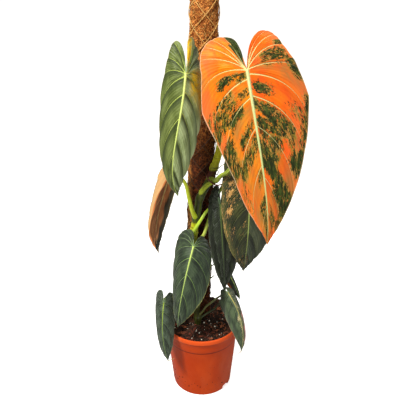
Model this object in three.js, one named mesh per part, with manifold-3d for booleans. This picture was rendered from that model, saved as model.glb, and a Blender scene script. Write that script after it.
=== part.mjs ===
// Variegated philodendron melanochrysum climbing a coir pole in an orange nursery pot.
// Millimetres, +Z up. The origin is the centre of the pot's underside, on the surface the
// pot stands on. The plant faces -Y; +X is to its right.
import * as THREE from 'three';
import { mergeVertices } from 'three/addons/utils/BufferGeometryUtils.js';
import Module from 'manifold-3d';

const wasm = await Module();
wasm.setup();

// Gap kept between pieces that touch on the real plant
const GAP = 0.3;

// Pot: a thin plastic nursery pot, 130 mm across its lip and 130 mm tall
const POT = {
  height: 130,
  lipRadius: 65,
  lipHeight: 8,
  lipInnerRadius: 61.8,
  footRadius: 51,
  cornerRadius: 3,
  collarDrop: 28.5,
  collarStep: 0.9,
  shoulderRadius: 62.6,
  wall: 1.7,
  floor: 2.4,
  innerCorner: 11,
  sides: 32,
};
const NOTCH = { count: 8, width: 13, height: 6, depth: 7, firstAngle: -35 };
const DRAIN = { count: 6, radius: 4, ring: 31 };

// Soil: fills the pot to the brim and rises a little round the pole
const SOIL = { edgeHeight: 124.5, moundHeight: 128.5, rings: 4, sides: 32, roughness: 1.3 };
const BARK = { count: 18, length: [8, 17], width: [4, 8], thickness: [2.2, 3.6] };
const PERLITE = { count: 14, size: [1.5, 2.3] };

// Coir pole: a fibre sleeve on a stake, with a diamond net round it
const POLE = {
  footX: -9.6,
  footZ: 10,
  y: 20,
  lean: 0.0238,
  top: 690,
  radius: 19.8,
  lumps: 0.3,
  sides: 20,
  rows: 12,
  stakeRadius: 7,
  stakeSides: 14,
};
const NET = { strands: 3, sides: 4, pitch: 195, thickness: 1.5, radius: 21.9, stepsPerTurn: 12, foot: 134, top: 684,
  smoothing: 0.06 };

// Main stem: climbs the front of the pole and swings round to its right. Each station is a
// height and an angle round the pole, from the front towards the right.
const STEM = {
  radius: 5.8,
  nodeSwell: 1.1,
  nodeSpread: 4.5,
  clearance: 30.3,
  foot: 98,
  sides: 9,
  steps: 46,
  tipLength: 42,
  tipRadius: 1.6,
};
const STEM_STATIONS = [
  [98, -1], [138, -1], [175, -10], [215, -18], [250, -24], [283, -20], [315, -17], [348, -7],
  [369, -2], [386, 13], [402, 29], [417, 40], [431, 53], [447, 67], [472, 76], [504, 58], [545, 36],
];
const NODE_HEIGHTS = [138, 162, 205, 262, 286, 308, 334, 369, 403, 418, 506];

// Short aerial roots that grow out at the nodes
const AERIAL_ROOTS = [
  { points: [[19, -6, 417], [25, -10, 419], [31, -10, 424], [37, -7, 427]], radius: 0.9 },
  { points: [[20, -8, 411], [25, -13, 411], [26, -13, 417], [22, -9, 420]], radius: 0.8 },
];

// Leaf blade: thickness in the solid, the raised ribs, and the pleats between side veins
const BLADE = { thickness: 0.8, ribHeight: 0.7, pleat: 0.9, veinArch: 0.18, bendSteps: 60 };

const TURN = Math.PI * 2;
const DEG = Math.PI / 180;

const COLOURS = {
  pot: 0xc9471c,
  soil: 0x2b1c14,
  stake: 0x8a6b45,
  coir: 0x6e3f1d,
  net: 0xb98a4a,
  stem: 0x5f7a1e,
  petiole: 0x86a02c,
  orange: 0xf0792c,
  sage: 0x6f8258,
  tan: 0xb98a50,
  speckled: 0x46502f,
  dark: 0x2c3a2a,
  green: 0x3f5438,
};

// Repeatable random numbers from 0 to 1
function makeRandom(seed) {
  let state = seed >>> 0;
  return () => {
    state = (state + 0x6d2b79f5) >>> 0;
    let t = state;
    t = Math.imul(t ^ (t >>> 15), t | 1);
    t ^= t + Math.imul(t ^ (t >>> 7), t | 61);
    return ((t ^ (t >>> 14)) >>> 0) / 4294967296;
  };
}

const between = (random, [low, high]) => low + (high - low) * random();

const vec = ([x, y, z]) => new THREE.Vector3(x, y, z);

// A straight-line reading of a list of values at a place on a rising list of stations
function readAt(stations, values, place) {
  if (place <= stations[0]) return values[0];
  for (let i = 1; i < stations.length; i += 1) {
    if (place <= stations[i]) {
      const share = (place - stations[i - 1]) / (stations[i] - stations[i - 1]);
      return values[i - 1] + (values[i] - values[i - 1]) * share;
    }
  }
  return values[values.length - 1];
}

// A closed geometry from points and faces, with its faces turned outwards
function closedGeometry(points, faces) {
  let volume = 0;
  for (const [a, b, c] of faces) volume += points[a].dot(points[b].clone().cross(points[c]));
  const positions = [];
  for (const [a, b, c] of faces) {
    const order = volume < 0 ? [a, c, b] : [a, b, c];
    for (const i of order) positions.push(points[i].x, points[i].y, points[i].z);
  }
  const geometry = new THREE.BufferGeometry();
  geometry.setAttribute('position', new THREE.Float32BufferAttribute(positions, 3));
  return geometry;
}

function toSolid(geometry) {
  const bare = geometry.clone();
  bare.deleteAttribute('normal');
  bare.deleteAttribute('uv');
  const merged = mergeVertices(bare, 1e-4);
  const vertProperties = new Float32Array(merged.attributes.position.array);
  const triVerts = new Uint32Array(merged.index.array);
  return new wasm.Manifold(new wasm.Mesh({ numProp: 3, vertProperties, triVerts }));
}

function fromSolid(solid) {
  const mesh = solid.getMesh();
  const geometry = new THREE.BufferGeometry();
  geometry.setAttribute('position', new THREE.Float32BufferAttribute(mesh.vertProperties, 3));
  geometry.setIndex(Array.from(mesh.triVerts));
  return geometry.toNonIndexed();
}

// The largest separate piece of a solid
function largestPiece(solid) {
  const pieces = solid.decompose();
  return pieces.reduce((best, piece) => (piece.volume() > best.volume() ? piece : best));
}

function turned(profile, sides) {
  const points = profile.map(([radius, z]) => new THREE.Vector2(radius, z));
  const geometry = new THREE.LatheGeometry(points, sides);
  geometry.rotateX(Math.PI / 2);
  return geometry;
}

// A round limb along a curve: rings of a given radius, closed by a flat cap at each end
function limb(curve, radiusAt, sides, steps) {
  const frames = curve.computeFrenetFrames(steps, false);
  const points = [];
  const faces = [];
  for (let i = 0; i <= steps; i += 1) {
    const share = i / steps;
    const centre = curve.getPointAt(share);
    const radius = radiusAt(share);
    for (let j = 0; j < sides; j += 1) {
      const angle = (TURN * j) / sides;
      points.push(centre.clone()
        .addScaledVector(frames.normals[i], radius * Math.cos(angle))
        .addScaledVector(frames.binormals[i], radius * Math.sin(angle)));
    }
  }
  for (let i = 0; i < steps; i += 1) {
    for (let j = 0; j < sides; j += 1) {
      const a = i * sides + j;
      const b = i * sides + ((j + 1) % sides);
      faces.push([a, b, b + sides], [a, b + sides, a + sides]);
    }
  }
  const start = points.push(curve.getPointAt(0)) - 1;
  const end = points.push(curve.getPointAt(1)) - 1;
  for (let j = 0; j < sides; j += 1) {
    const next = (j + 1) % sides;
    faces.push([start, next, j]);
    faces.push([end, steps * sides + j, steps * sides + next]);
  }
  return closedGeometry(points, faces);
}

const curveThrough = (points) => new THREE.CatmullRomCurve3(points.map(vec), false, 'centripetal');

// Pole axis at a height
const poleX = (z) => POLE.footX + (z - POLE.footZ) * POLE.lean;
const poleCentre = (z) => new THREE.Vector3(poleX(z), POLE.y, z);

// Pot: one turned wall with a flat floor, notched round its bottom edge and drained
function makePot() {
  const wallTop = POT.height - POT.lipHeight;
  const collar = POT.height - POT.collarDrop;
  const rise = (POT.shoulderRadius - POT.footRadius) / wallTop;
  const outerAt = (z) => POT.footRadius + rise * z;
  const corner = POT.cornerRadius;
  const profile = [
    [0, 0],
    [POT.footRadius - corner, 0],
    [POT.footRadius - corner * 0.25, corner * 0.35],
    [outerAt(corner), corner],
    [outerAt(collar) - POT.collarStep, collar],
    [outerAt(collar), collar + POT.collarStep],
    [POT.shoulderRadius, wallTop],
    [POT.lipRadius - 0.6, wallTop],
    [POT.lipRadius, wallTop + 1.2],
    [POT.lipRadius - 0.4, POT.height - 0.9],
    [POT.lipRadius - 1.4, POT.height],
    [POT.lipInnerRadius + 0.7, POT.height],
    [POT.lipInnerRadius, POT.height - 0.9],
    [POT.shoulderRadius - POT.wall, wallTop],
    [outerAt(POT.innerCorner) - POT.wall, POT.innerCorner],
    [outerAt(0) - POT.innerCorner, POT.floor],
    [0, POT.floor],
  ];
  let solid = toSolid(turned(profile, POT.sides));
  for (let i = 0; i < NOTCH.count; i += 1) {
    const cutter = new THREE.BoxGeometry(NOTCH.depth * 2, NOTCH.width, NOTCH.height * 2);
    cutter.rotateY(45 * DEG);
    cutter.translate(POT.footRadius + NOTCH.depth * 0.42, 0, -NOTCH.height * 0.42);
    cutter.rotateZ(NOTCH.firstAngle * DEG + (TURN * i) / NOTCH.count);
    solid = solid.subtract(toSolid(cutter));
  }
  for (let i = 0; i < DRAIN.count; i += 1) {
    const hole = new THREE.CylinderGeometry(DRAIN.radius, DRAIN.radius, POT.floor * 4, 10);
    hole.rotateX(Math.PI / 2);
    hole.translate(DRAIN.ring, 0, 0);
    hole.rotateZ((TURN * (i + 0.5)) / DRAIN.count);
    solid = solid.subtract(toSolid(hole));
  }
  return fromSolid(solid);
}

// Soil: the root ball in the pot, with a rough mounded top, bark chips and perlite grains
function makeSoil(poleHole, stemHole) {
  const random = makeRandom(11);
  const wallTop = POT.height - POT.lipHeight;
  const rise = (POT.shoulderRadius - POT.footRadius) / wallTop;
  const innerAt = (z) => POT.footRadius + rise * z - POT.wall - GAP;
  const edge = innerAt(SOIL.edgeHeight);
  const points = [];
  const faces = [];
  const ring = (radius, heightAt) => {
    for (let j = 0; j < SOIL.sides; j += 1) {
      const angle = (TURN * j) / SOIL.sides;
      points.push(new THREE.Vector3(radius * Math.cos(angle), radius * Math.sin(angle), heightAt()));
    }
  };
  ring(POT.footRadius - POT.innerCorner - GAP, () => POT.floor + GAP);
  ring(innerAt(POT.innerCorner), () => POT.innerCorner + GAP);
  ring(edge, () => SOIL.edgeHeight);
  for (let i = SOIL.rings; i >= 1; i -= 1) {
    const share = i / (SOIL.rings + 1);
    const mound = SOIL.moundHeight - (SOIL.moundHeight - SOIL.edgeHeight) * share ** 2;
    ring(edge * share, () => mound + (random() - 0.5) * 2 * SOIL.roughness);
  }
  const rows = points.length / SOIL.sides;
  for (let i = 0; i + 1 < rows; i += 1) {
    for (let j = 0; j < SOIL.sides; j += 1) {
      const a = i * SOIL.sides + j;
      const b = i * SOIL.sides + ((j + 1) % SOIL.sides);
      faces.push([a, b, b + SOIL.sides], [a, b + SOIL.sides, a + SOIL.sides]);
    }
  }
  const bottom = points.push(new THREE.Vector3(0, 0, POT.floor + GAP)) - 1;
  const top = points.push(new THREE.Vector3(0, 0, SOIL.moundHeight)) - 1;
  for (let j = 0; j < SOIL.sides; j += 1) {
    const next = (j + 1) % SOIL.sides;
    faces.push([bottom, next, j]);
    faces.push([top, (rows - 1) * SOIL.sides + j, (rows - 1) * SOIL.sides + next]);
  }
  let solid = toSolid(closedGeometry(points, faces));

  const scatter = (geometry, sink) => {
    const angle = TURN * random();
    const radius = (edge - 9) * Math.sqrt(random());
    const height = SOIL.moundHeight - (SOIL.moundHeight - SOIL.edgeHeight) * (radius / edge) ** 2;
    geometry.rotateX((random() - 0.5) * 0.6);
    geometry.rotateY((random() - 0.5) * 0.6);
    geometry.rotateZ(TURN * random());
    geometry.translate(radius * Math.cos(angle), radius * Math.sin(angle), height + sink);
    solid = solid.add(toSolid(geometry));
  };
  for (let i = 0; i < BARK.count; i += 1) {
    const length = between(random, BARK.length);
    const width = between(random, BARK.width);
    const chip = new THREE.CylinderGeometry(width / 2, width / 2.6, between(random, BARK.thickness), 5);
    chip.rotateX(Math.PI / 2);
    chip.scale(length / width, 1, 1);
    scatter(chip, 0.4);
  }
  for (let i = 0; i < PERLITE.count; i += 1) {
    scatter(new THREE.OctahedronGeometry(between(random, PERLITE.size)), 0.9);
  }
  return fromSolid(largestPiece(solid.subtract(poleHole).subtract(stemHole)));
}

// Coir sleeve: a slightly lumpy fibre cylinder, bored for its stake
function makeCoir() {
  const random = makeRandom(5);
  const points = [];
  const faces = [];
  const rows = POLE.rows;
  const addRing = (radiusAt, z) => {
    const centre = poleCentre(z);
    for (let j = 0; j < POLE.sides; j += 1) {
      const angle = (TURN * j) / POLE.sides;
      const radius = radiusAt();
      points.push(centre.clone().add(
        new THREE.Vector3(radius * Math.cos(angle), radius * Math.sin(angle), 0),
      ));
    }
  };
  const lumpy = () => POLE.radius + (random() - 0.5) * 2 * POLE.lumps;
  const bore = () => (POLE.stakeRadius + GAP) / Math.cos(Math.PI / POLE.stakeSides) + 0.1;
  const foot = POLE.footZ;
  const height = POLE.top - foot;
  for (let i = 0; i <= rows; i += 1) addRing(lumpy, foot + (height * i) / rows);
  addRing(bore, POLE.top);
  addRing(bore, foot);
  const ringCount = points.length / POLE.sides;
  for (let i = 0; i < ringCount; i += 1) {
    const after = (i + 1) % ringCount;
    for (let j = 0; j < POLE.sides; j += 1) {
      const next = (j + 1) % POLE.sides;
      const a = i * POLE.sides + j;
      const b = i * POLE.sides + next;
      const c = after * POLE.sides + next;
      const d = after * POLE.sides + j;
      faces.push([a, b, c], [a, c, d]);
    }
  }
  return closedGeometry(points, faces);
}

// A straight limb on the pole's leaning axis
function poleLimb(radius, sides, fromZ, toZ) {
  const axis = new THREE.LineCurve3(poleCentre(fromZ), poleCentre(toZ));
  return limb(axis, () => radius, sides, 1);
}

// A strand of the net: a helix on the leaning axis, turning one way or the other
class Strand extends THREE.Curve {
  constructor(startAngle, hand) {
    super();
    this.startAngle = startAngle;
    this.hand = hand;
  }

  getPoint(share, target = new THREE.Vector3()) {
    const z = NET.foot + (NET.top - NET.foot) * share;
    const angle = this.startAngle + (this.hand * TURN * (z - NET.foot)) / NET.pitch;
    return target.copy(poleCentre(z)).add(
      new THREE.Vector3(NET.radius * Math.cos(angle), NET.radius * Math.sin(angle), 0),
    );
  }
}

function makeNet() {
  const steps = Math.round(((NET.top - NET.foot) / NET.pitch) * NET.stepsPerTurn);
  let solid = null;
  for (let i = 0; i < NET.strands; i += 1) {
    for (const hand of [1, -1]) {
      const strand = limb(new Strand((TURN * i) / NET.strands, hand), () => NET.thickness / 2, NET.sides, steps);
      solid = solid === null ? toSolid(strand) : solid.add(toSolid(strand));
    }
  }
  return fromSolid(largestPiece(solid.simplify(NET.smoothing)));
}

// A point beside the pole at a height and an angle, at the stem's distance from the axis
function besidePole([z, angle]) {
  return new THREE.Vector3(
    poleX(z) + STEM.clearance * Math.sin(angle * DEG),
    POLE.y - STEM.clearance * Math.cos(angle * DEG),
    z,
  );
}

const stemCurve = new THREE.CatmullRomCurve3(STEM_STATIONS.map(besidePole), false, 'centripetal');

// The point of the stem's middle line at a height
function stemAt(height) {
  const shares = Array.from({ length: 400 }, (_, i) => i / 399);
  const share = shares.find((s) => stemCurve.getPointAt(s).z >= height) ?? 1;
  return stemCurve.getPointAt(share);
}

// Stem half width: a little thicker at every node, drawn out to a closed growing tip
function stemRadius(share, extra = 0) {
  const z = stemCurve.getPointAt(share).z;
  const top = STEM_STATIONS[STEM_STATIONS.length - 1][0];
  const swell = NODE_HEIGHTS.reduce(
    (sum, node) => sum + Math.exp(-(((z - node) / STEM.nodeSpread) ** 2)),
    0,
  );
  const taper = THREE.MathUtils.smoothstep(z, top - STEM.tipLength, top);
  const radius = STEM.radius + STEM.nodeSwell * Math.min(swell, 1);
  return radius + (STEM.tipRadius - radius) * taper + extra;
}

const stemLimb = (extra) => limb(stemCurve, (s) => stemRadius(s, extra), STEM.sides, STEM.steps);

function makeStem() {
  let solid = toSolid(stemLimb(0));
  for (const { points, radius } of AERIAL_ROOTS) {
    solid = solid.add(toSolid(limb(curveThrough(points), () => radius, 5, 6)));
  }
  return fromSolid(largestPiece(solid));
}

// One half of a flat blade, tip to the right: along the midrib as a share of the length from
// the petiole to the tip, and out from it as a share of the half width. Negative is the lobe.
const HALF_OUTLINE = [
  [0, 0], [-0.05, 0.05], [-0.14, 0.11], [-0.215, 0.25], [-0.245, 0.47], [-0.215, 0.71],
  [-0.125, 0.89], [0.01, 0.98], [0.18, 1], [0.36, 0.93], [0.54, 0.775], [0.71, 0.555],
  [0.85, 0.3], [0.93, 0.125], [0.97, 0.045], [1, 0],
];
// Where the side vein that runs to each outline point leaves the midrib
const VEIN_ROOTS = [0, 0, 0, 0, 0, 0, 0, 0, 0.01, 0.12, 0.24, 0.4, 0.62, 0.8, 0.91, 1];
// Stations along the midrib at which a leaf says how full its two halves are
const FULL_STATIONS = [-0.2, 0, 0.2, 0.4, 0.6, 0.8];
const LOBE_REACH = 0.25;
const EVEN = [1, 1, 1, 1, 1, 1];

// Leaves. Pairs are the left and right halves as seen from the upper face, tip down.
// attach, tip: ends of the midrib. roll: turn of the face round that line. arch: bend of the
// midrib backwards. side, hook: its bend sideways, even and at the tip. width: half width by
// length. fold, curl: slope of a half at the midrib and its further bend to the margin.
// lobe: lobe length against the common outline. lobeRoll: how far the lobes roll back.
const LEAVES = [
  {
    name: 'leaf_1', colour: 'orange', rows: 20, cols: 5,
    attach: [60, -97, 596], tip: [96, -106, 343],
    roll: -25, arch: 9, side: -1, hook: -15, twist: -2,
    width: [0.27, 0.27], fold: [-5, -25], curl: [13, -16],
    lobe: [0.77, 1.01], lobeRoll: 67,
    full: [[1.06, 0.94, 1.05, 0.93, 0.9, 1.05], [0.79, 0.93, 1.1, 1.06, 1.01, 0.92]],
    petiole: {
      from: 403,
      via: [
        [18, -22, 404], [24, -38, 415], [30, -53, 428], [40, -72, 444], [48, -80, 463],
        [58, -84, 515], [67, -86, 570],
      ],
      radius: [3.9, 2.8],
    },
  },
  {
    name: 'leaf_2', colour: 'sage', rows: 20, cols: 5,
    attach: [-18, -78, 585], tip: [-32, -72, 404],
    roll: 24, arch: 31, side: -13, hook: 58, twist: -34,
    width: [0.21, 0.24], fold: [-32, -19], curl: [-40, -43],
    lobe: [0.98, 1.21], lobeRoll: 27,
    full: [[0.7, 0.84, 0.98, 1.02, 1, 1.01], [0.95, 0.94, 0.98, 1.04, 1.07, 1.07]],
    petiole: {
      from: 504,
      via: [[24, -14, 522], [8, -22, 548], [-10, -32, 568], [-24, -46, 578], [-25, -62, 583]],
      radius: [3.3, 2.5],
    },
  },
  {
    name: 'leaf_3', colour: 'tan', rows: 14, cols: 4,
    attach: [-46, 4, 409], tip: [-70, -2, 264],
    roll: 177, arch: 19, side: 3, hook: -40, twist: 11,
    width: [0.24, 0.24], fold: [-42, -43], curl: [-50, -41],
    lobe: [1, 0.98], lobeRoll: 50,
    full: [EVEN, EVEN],
    petiole: {
      from: 334,
      via: [
        [-13, -19, 350], [-18, -27, 378], [-24, -34, 408], [-36, -38, 422], [-47, -26, 419],
        [-47, -10, 411],
      ],
      radius: [3.9, 2.3],
    },
  },
  {
    name: 'leaf_4', colour: 'speckled', rows: 16, cols: 4,
    attach: [69, -68, 444], tip: [65, -62, 269],
    roll: -10, arch: 41, side: -15, hook: -2, twist: 24,
    width: [0.28, 0.29], fold: [-14, -5], curl: [-36, -22],
    lobe: [1.03, 1], lobeRoll: 37,
    full: [[0.97, 0.94, 0.97, 1.03, 1.04, 1.06], EVEN],
    petiole: {
      from: 284,
      via: [
        [3, -14, 304], [9, -13, 322], [18, -6, 348], [28, 0, 374], [42, -3, 400], [56, -20, 422],
        [68, -44, 437],
      ],
      radius: [3.3, 2.4],
    },
  },
  {
    name: 'leaf_5', colour: 'dark', rows: 14, cols: 4,
    attach: [29, -44, 377], tip: [36, -46, 222],
    roll: -18, arch: 35, side: -6, hook: -12, twist: 30,
    width: [0.2, 0.27], fold: [-23, -19], curl: [-32, -36],
    lobe: [0.98, 1.03], lobeRoll: 56,
    full: [EVEN, EVEN],
    petiole: {
      from: 306,
      via: [[-10, -19, 318], [-1, -22, 336], [9, -17, 350], [20, -19, 361], [30, -29, 370]],
      radius: [3.2, 2.2],
    },
  },
  {
    name: 'leaf_6', colour: 'green', rows: 14, cols: 4,
    attach: [-12, -48, 304], tip: [-38, -74, 169],
    roll: 1, arch: 53, side: 8, hook: 8, twist: -36,
    width: [0.28, 0.3], fold: [-20, -24], curl: [-52, -34],
    lobe: [0.98, 0.86], lobeRoll: 48,
    full: [[0.96, 0.97, 0.99, 1, 1, 1.02], [0.97, 0.96, 1.01, 1.11, 1.11, 1.05]],
    petiole: { from: 262, via: [[-17, -22, 276], [-14, -35, 291]], radius: [3, 2.1] },
  },
  {
    name: 'leaf_7', colour: 'green', rows: 12, cols: 3,
    attach: [-61, -50, 199], tip: [-55, -76, 100],
    roll: -4, arch: 34, side: 13, hook: 10, twist: -17,
    width: [0.28, 0.29], fold: [-26, -29], curl: [-56, -64],
    lobe: [1, 0.93], lobeRoll: 39,
    full: [EVEN, [1, 1, 1, 1.03, 1.06, 1.06]],
    petiole: {
      from: 160,
      via: [[-22, -17, 180], [-38, -19, 191], [-52, -21, 195], [-61, -33, 195]],
      radius: [2, 1.5],
    },
  },
  {
    name: 'leaf_8', colour: 'green', rows: 12, cols: 3,
    attach: [44, -26, 202], tip: [65, -76, 121],
    roll: 15, arch: 38, side: -22, hook: -26, twist: 27,
    width: [0.29, 0.28], fold: [-38, -32], curl: [-42, -48],
    lobe: [0.95, 1], lobeRoll: 80,
    full: [[1.01, 1.01, 1.01, 1.02, 1.05, 1.07], EVEN],
    petiole: {
      from: 142,
      via: [[1, -15, 155], [7, -16, 166], [16, -15, 174], [28, -8, 180], [38, -9, 187]],
      radius: [2.3, 1.6],
    },
  },
  {
    name: 'leaf_9', colour: 'green', rows: 10, cols: 3,
    attach: [43, 12, 220], tip: [65, -5, 173],
    roll: 20, arch: 24, side: -2, hook: -10, twist: 10,
    width: [0.26, 0.26], fold: [-30, -36], curl: [-40, -45],
    lobe: [1, 1], lobeRoll: 45,
    full: [EVEN, EVEN],
    petiole: {
      from: 134,
      via: [[6, -4, 141], [24, 3, 150], [38, 14, 168], [41, 24, 196], [41, 22, 210]],
      radius: [2, 1.5],
    },
  },
];

// The midrib as a run of places, each with its own directions: along, out of the face, across
function layMidrib(leaf) {
  const steps = BLADE.bendSteps;
  const back = Math.ceil(steps * 0.34);
  const directionsAt = (a, along, face, across) => {
    const bend = DEG * (a >= 0 ? leaf.arch * a : (leaf.lobeRoll * a) / LOBE_REACH);
    const sway = a >= 0 ? DEG * (leaf.side * a + leaf.hook * a ** 3) : 0;
    const turn = DEG * leaf.twist * a;
    const t = along.clone().multiplyScalar(Math.cos(bend) * Math.cos(sway))
      .addScaledVector(across, Math.cos(bend) * Math.sin(sway))
      .addScaledVector(face, -Math.sin(bend));
    const s = along.clone().multiplyScalar(-Math.sin(sway)).addScaledVector(across, Math.cos(sway));
    const n = t.clone().cross(s).multiplyScalar(Math.cos(turn)).addScaledVector(s, Math.sin(turn));
    return { along: t, face: n, across: n.clone().cross(t) };
  };
  // First on plain axes, to learn how the bends move the tip
  const plain = [new THREE.Vector3(1, 0, 0), new THREE.Vector3(0, 0, 1), new THREE.Vector3(0, 1, 0)];
  const chord = new THREE.Vector3();
  for (let i = 0; i < steps; i += 1) chord.add(directionsAt((i + 0.5) / steps, ...plain).along);
  chord.divideScalar(steps);
  const square = (direction, to) => direction.clone().addScaledVector(to, -direction.dot(to)).normalize();
  const chordWay = chord.clone().normalize();
  const chordFace = square(plain[1], chordWay);
  const from = new THREE.Matrix4().makeBasis(chordWay, chordFace, chordFace.clone().cross(chordWay));

  // Then turned so that the tip comes where the leaf says
  const attach = vec(leaf.attach);
  const reach = vec(leaf.tip).sub(attach);
  const way = reach.clone().normalize();
  const front = square(new THREE.Vector3(0, -1, 0.35), way);
  const face = front.clone().multiplyScalar(Math.cos(leaf.roll * DEG))
    .addScaledVector(front.clone().cross(way), Math.sin(leaf.roll * DEG));
  const to = new THREE.Matrix4().makeBasis(way, face, face.clone().cross(way));
  const turn = to.multiply(from.transpose());
  const axes = plain.map((axis) => axis.clone().applyMatrix4(turn));
  const length = reach.length() / chord.length();

  const places = [];
  const walk = (sign, count) => {
    const point = attach.clone();
    const run = [];
    for (let i = 0; i < count; i += 1) {
      const middle = directionsAt((sign * (i + 0.5)) / steps, ...axes);
      point.addScaledVector(middle.along, (sign * length) / steps);
      const a = (sign * (i + 1)) / steps;
      run.push({ a, point: point.clone(), ...directionsAt(a, ...axes) });
    }
    return run;
  };
  places.push(...walk(-1, back).reverse());
  places.push({ a: 0, point: attach.clone(), ...directionsAt(0, ...axes) });
  places.push(...walk(1, steps));
  return { places, length, steps, back };
}

// A place on the bent blade: half is -1 for the left and 1 for the right
function bendBlade(leaf, midrib, half, a, x) {
  const index = half < 0 ? 0 : 1;
  const scaled = THREE.MathUtils.clamp(a * midrib.steps + midrib.back, 0, midrib.places.length - 1);
  const low = Math.min(Math.floor(scaled), midrib.places.length - 2);
  const share = scaled - low;
  const mix = (key) => midrib.places[low][key].clone().lerp(midrib.places[low + 1][key], share);
  const halfWidth = leaf.width[index] * midrib.length;
  const fold = leaf.fold[index] * DEG;
  const curl = leaf.curl[index] * DEG;
  const out = (halfWidth / curl) * (Math.sin(fold + curl * x) - Math.sin(fold));
  const lift = (-halfWidth / curl) * (Math.cos(fold + curl * x) - Math.cos(fold));
  return mix('point').addScaledVector(mix('across'), half * out).addScaledVector(mix('face'), lift);
}

// A blade as one thin body: side veins run along its rows, from the midrib to the margin,
// with a pleat between each two, and a keel under the midrib
function makeBlade(leaf, extra = 0) {
  const { rows, cols } = leaf;
  const midrib = layMidrib(leaf);
  const outline = new THREE.SplineCurve(HALF_OUTLINE.map(([a, x]) => new THREE.Vector2(a, x)));
  const stations = VEIN_ROOTS.map((_, i) => i / (VEIN_ROOTS.length - 1));
  const points = [];
  const keel = [];
  const grid = new Map();
  const place = (point, isRib) => {
    keel.push(isRib);
    return points.push(point) - 1;
  };
  const attach = place(midrib.places[midrib.back].point.clone(), true);
  for (let i = 0; i <= rows; i += 1) {
    const v = i / rows;
    const root = readAt(stations, VEIN_ROOTS, v);
    let rib = attach;
    if (root > 0) rib = place(bendBlade(leaf, midrib, 1, root, 0), true);
    for (const half of [-1, 1]) {
      const index = half < 0 ? 0 : 1;
      grid.set(`${half},${i},0`, rib);
      const edge = outline.getPoint(v);
      const full = readAt(FULL_STATIONS, leaf.full[index], edge.x);
      const end = new THREE.Vector2(edge.x < 0 ? edge.x * leaf.lobe[index] : edge.x, edge.y * full);
      const reach = Math.hypot(end.x - root, end.y * leaf.width[index]);
      const bow = (end.x + root) / 2 - BLADE.veinArch * reach;
      for (let j = 1; j <= cols; j += 1) {
        const key = `${half},${i},${j}`;
        if (i === 0) {
          grid.set(key, attach);
        } else if (i === rows) {
          grid.set(key, rib);
        } else {
          const u = j / cols;
          const a = root * (1 - u) ** 2 + bow * 2 * u * (1 - u) + end.x * u * u;
          const x = end.y * (u * (1 - u) + u * u);
          const point = bendBlade(leaf, midrib, half, a, x);
          const crest = i % 2 === 1 ? 1 : -1;
          const face = midrib.places[midrib.back + Math.max(0, Math.round(a * midrib.steps))].face;
          const depth = BLADE.pleat * Math.sin(Math.PI * Math.min(u, 0.86)) * Math.min(1, reach * 3);
          grid.set(key, place(point.addScaledVector(face, crest * depth * 0.5), false));
        }
      }
    }
  }
  const triangles = [];
  const add = (a, b, c) => {
    if (a !== b && b !== c && c !== a) triangles.push([a, b, c]);
  };
  for (const half of [-1, 1]) {
    for (let i = 0; i < rows; i += 1) {
      for (let j = 0; j < cols; j += 1) {
        const a = grid.get(`${half},${i},${j}`);
        const b = grid.get(`${half},${i},${j + 1}`);
        const c = grid.get(`${half},${i + 1},${j + 1}`);
        const d = grid.get(`${half},${i + 1},${j}`);
        if (half > 0) {
          add(a, c, b);
          add(a, d, c);
        } else {
          add(a, b, c);
          add(a, c, d);
        }
      }
    }
  }
  const normals = points.map(() => new THREE.Vector3());
  for (const [a, b, c] of triangles) {
    const side = points[b].clone().sub(points[a]);
    const normal = side.cross(points[c].clone().sub(points[a]));
    for (const i of [a, b, c]) normals[i].add(normal);
  }
  normals.forEach((normal) => normal.normalize());
  const half = BLADE.thickness / 2 + extra;
  const upper = points.map((point, i) => point.clone().addScaledVector(normals[i], half));
  const lower = points.map((point, i) => (
    point.clone().addScaledVector(normals[i], -half - (keel[i] ? BLADE.ribHeight : 0))
  ));
  const all = [...upper, ...lower];
  const shift = points.length;
  const faces = triangles.flatMap(([a, b, c]) => [[a, b, c], [a + shift, c + shift, b + shift]]);
  const edges = new Map();
  for (const [a, b, c] of triangles) {
    for (const [p, q] of [[a, b], [b, c], [c, a]]) {
      if (edges.has(`${q},${p}`)) edges.delete(`${q},${p}`);
      else edges.set(`${p},${q}`, [p, q]);
    }
  }
  for (const [p, q] of edges.values()) faces.push([q, p, p + shift], [q, p + shift, q + shift]);
  return closedGeometry(all, faces);
}

// A petiole: from the stem to the back of its blade, cut clear of both
function makePetiole(leaf, stemClearance) {
  const { from, via, radius } = leaf.petiole;
  const start = stemAt(from);
  const midrib = layMidrib(leaf);
  const { point, face } = midrib.places[midrib.back];
  const end = point.clone().addScaledVector(face, -BLADE.thickness / 2 - BLADE.ribHeight - GAP * 2);
  const path = new THREE.CatmullRomCurve3([start, ...via.map(vec), end], false, 'centripetal');
  const steps = Math.max(5, Math.round(path.getLength() / 14));
  const radiusAt = (share) => radius[0] + (radius[1] - radius[0]) * Math.sqrt(share);
  const solid = toSolid(limb(path, radiusAt, 8, steps));
  const blade = toSolid(makeBlade(leaf, GAP * 1.5));
  const joint = new THREE.IcosahedronGeometry(radius[1] + GAP * 2, 1);
  joint.translate(point.x, point.y, point.z);
  const clear = solid.subtract(stemClearance).subtract(blade).subtract(toSolid(joint));
  return fromSolid(largestPiece(clear));
}

const plant = new THREE.Group();

function addPiece(name, geometry, colour, roughness) {
  geometry.computeVertexNormals();
  const material = new THREE.MeshStandardMaterial({ color: COLOURS[colour], roughness, metalness: 0 });
  const mesh = new THREE.Mesh(geometry, material);
  mesh.name = name;
  plant.add(mesh);
}

const holeRadius = POLE.radius + POLE.lumps + GAP * 2;
const poleHole = toSolid(poleLimb(holeRadius, POLE.sides, POLE.footZ - GAP * 3, SOIL.moundHeight + 20));
const stemHole = toSolid(stemLimb(GAP * 2)).translate([0, 0, -GAP * 2]);
const stemClearance = toSolid(stemLimb(GAP));

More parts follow.
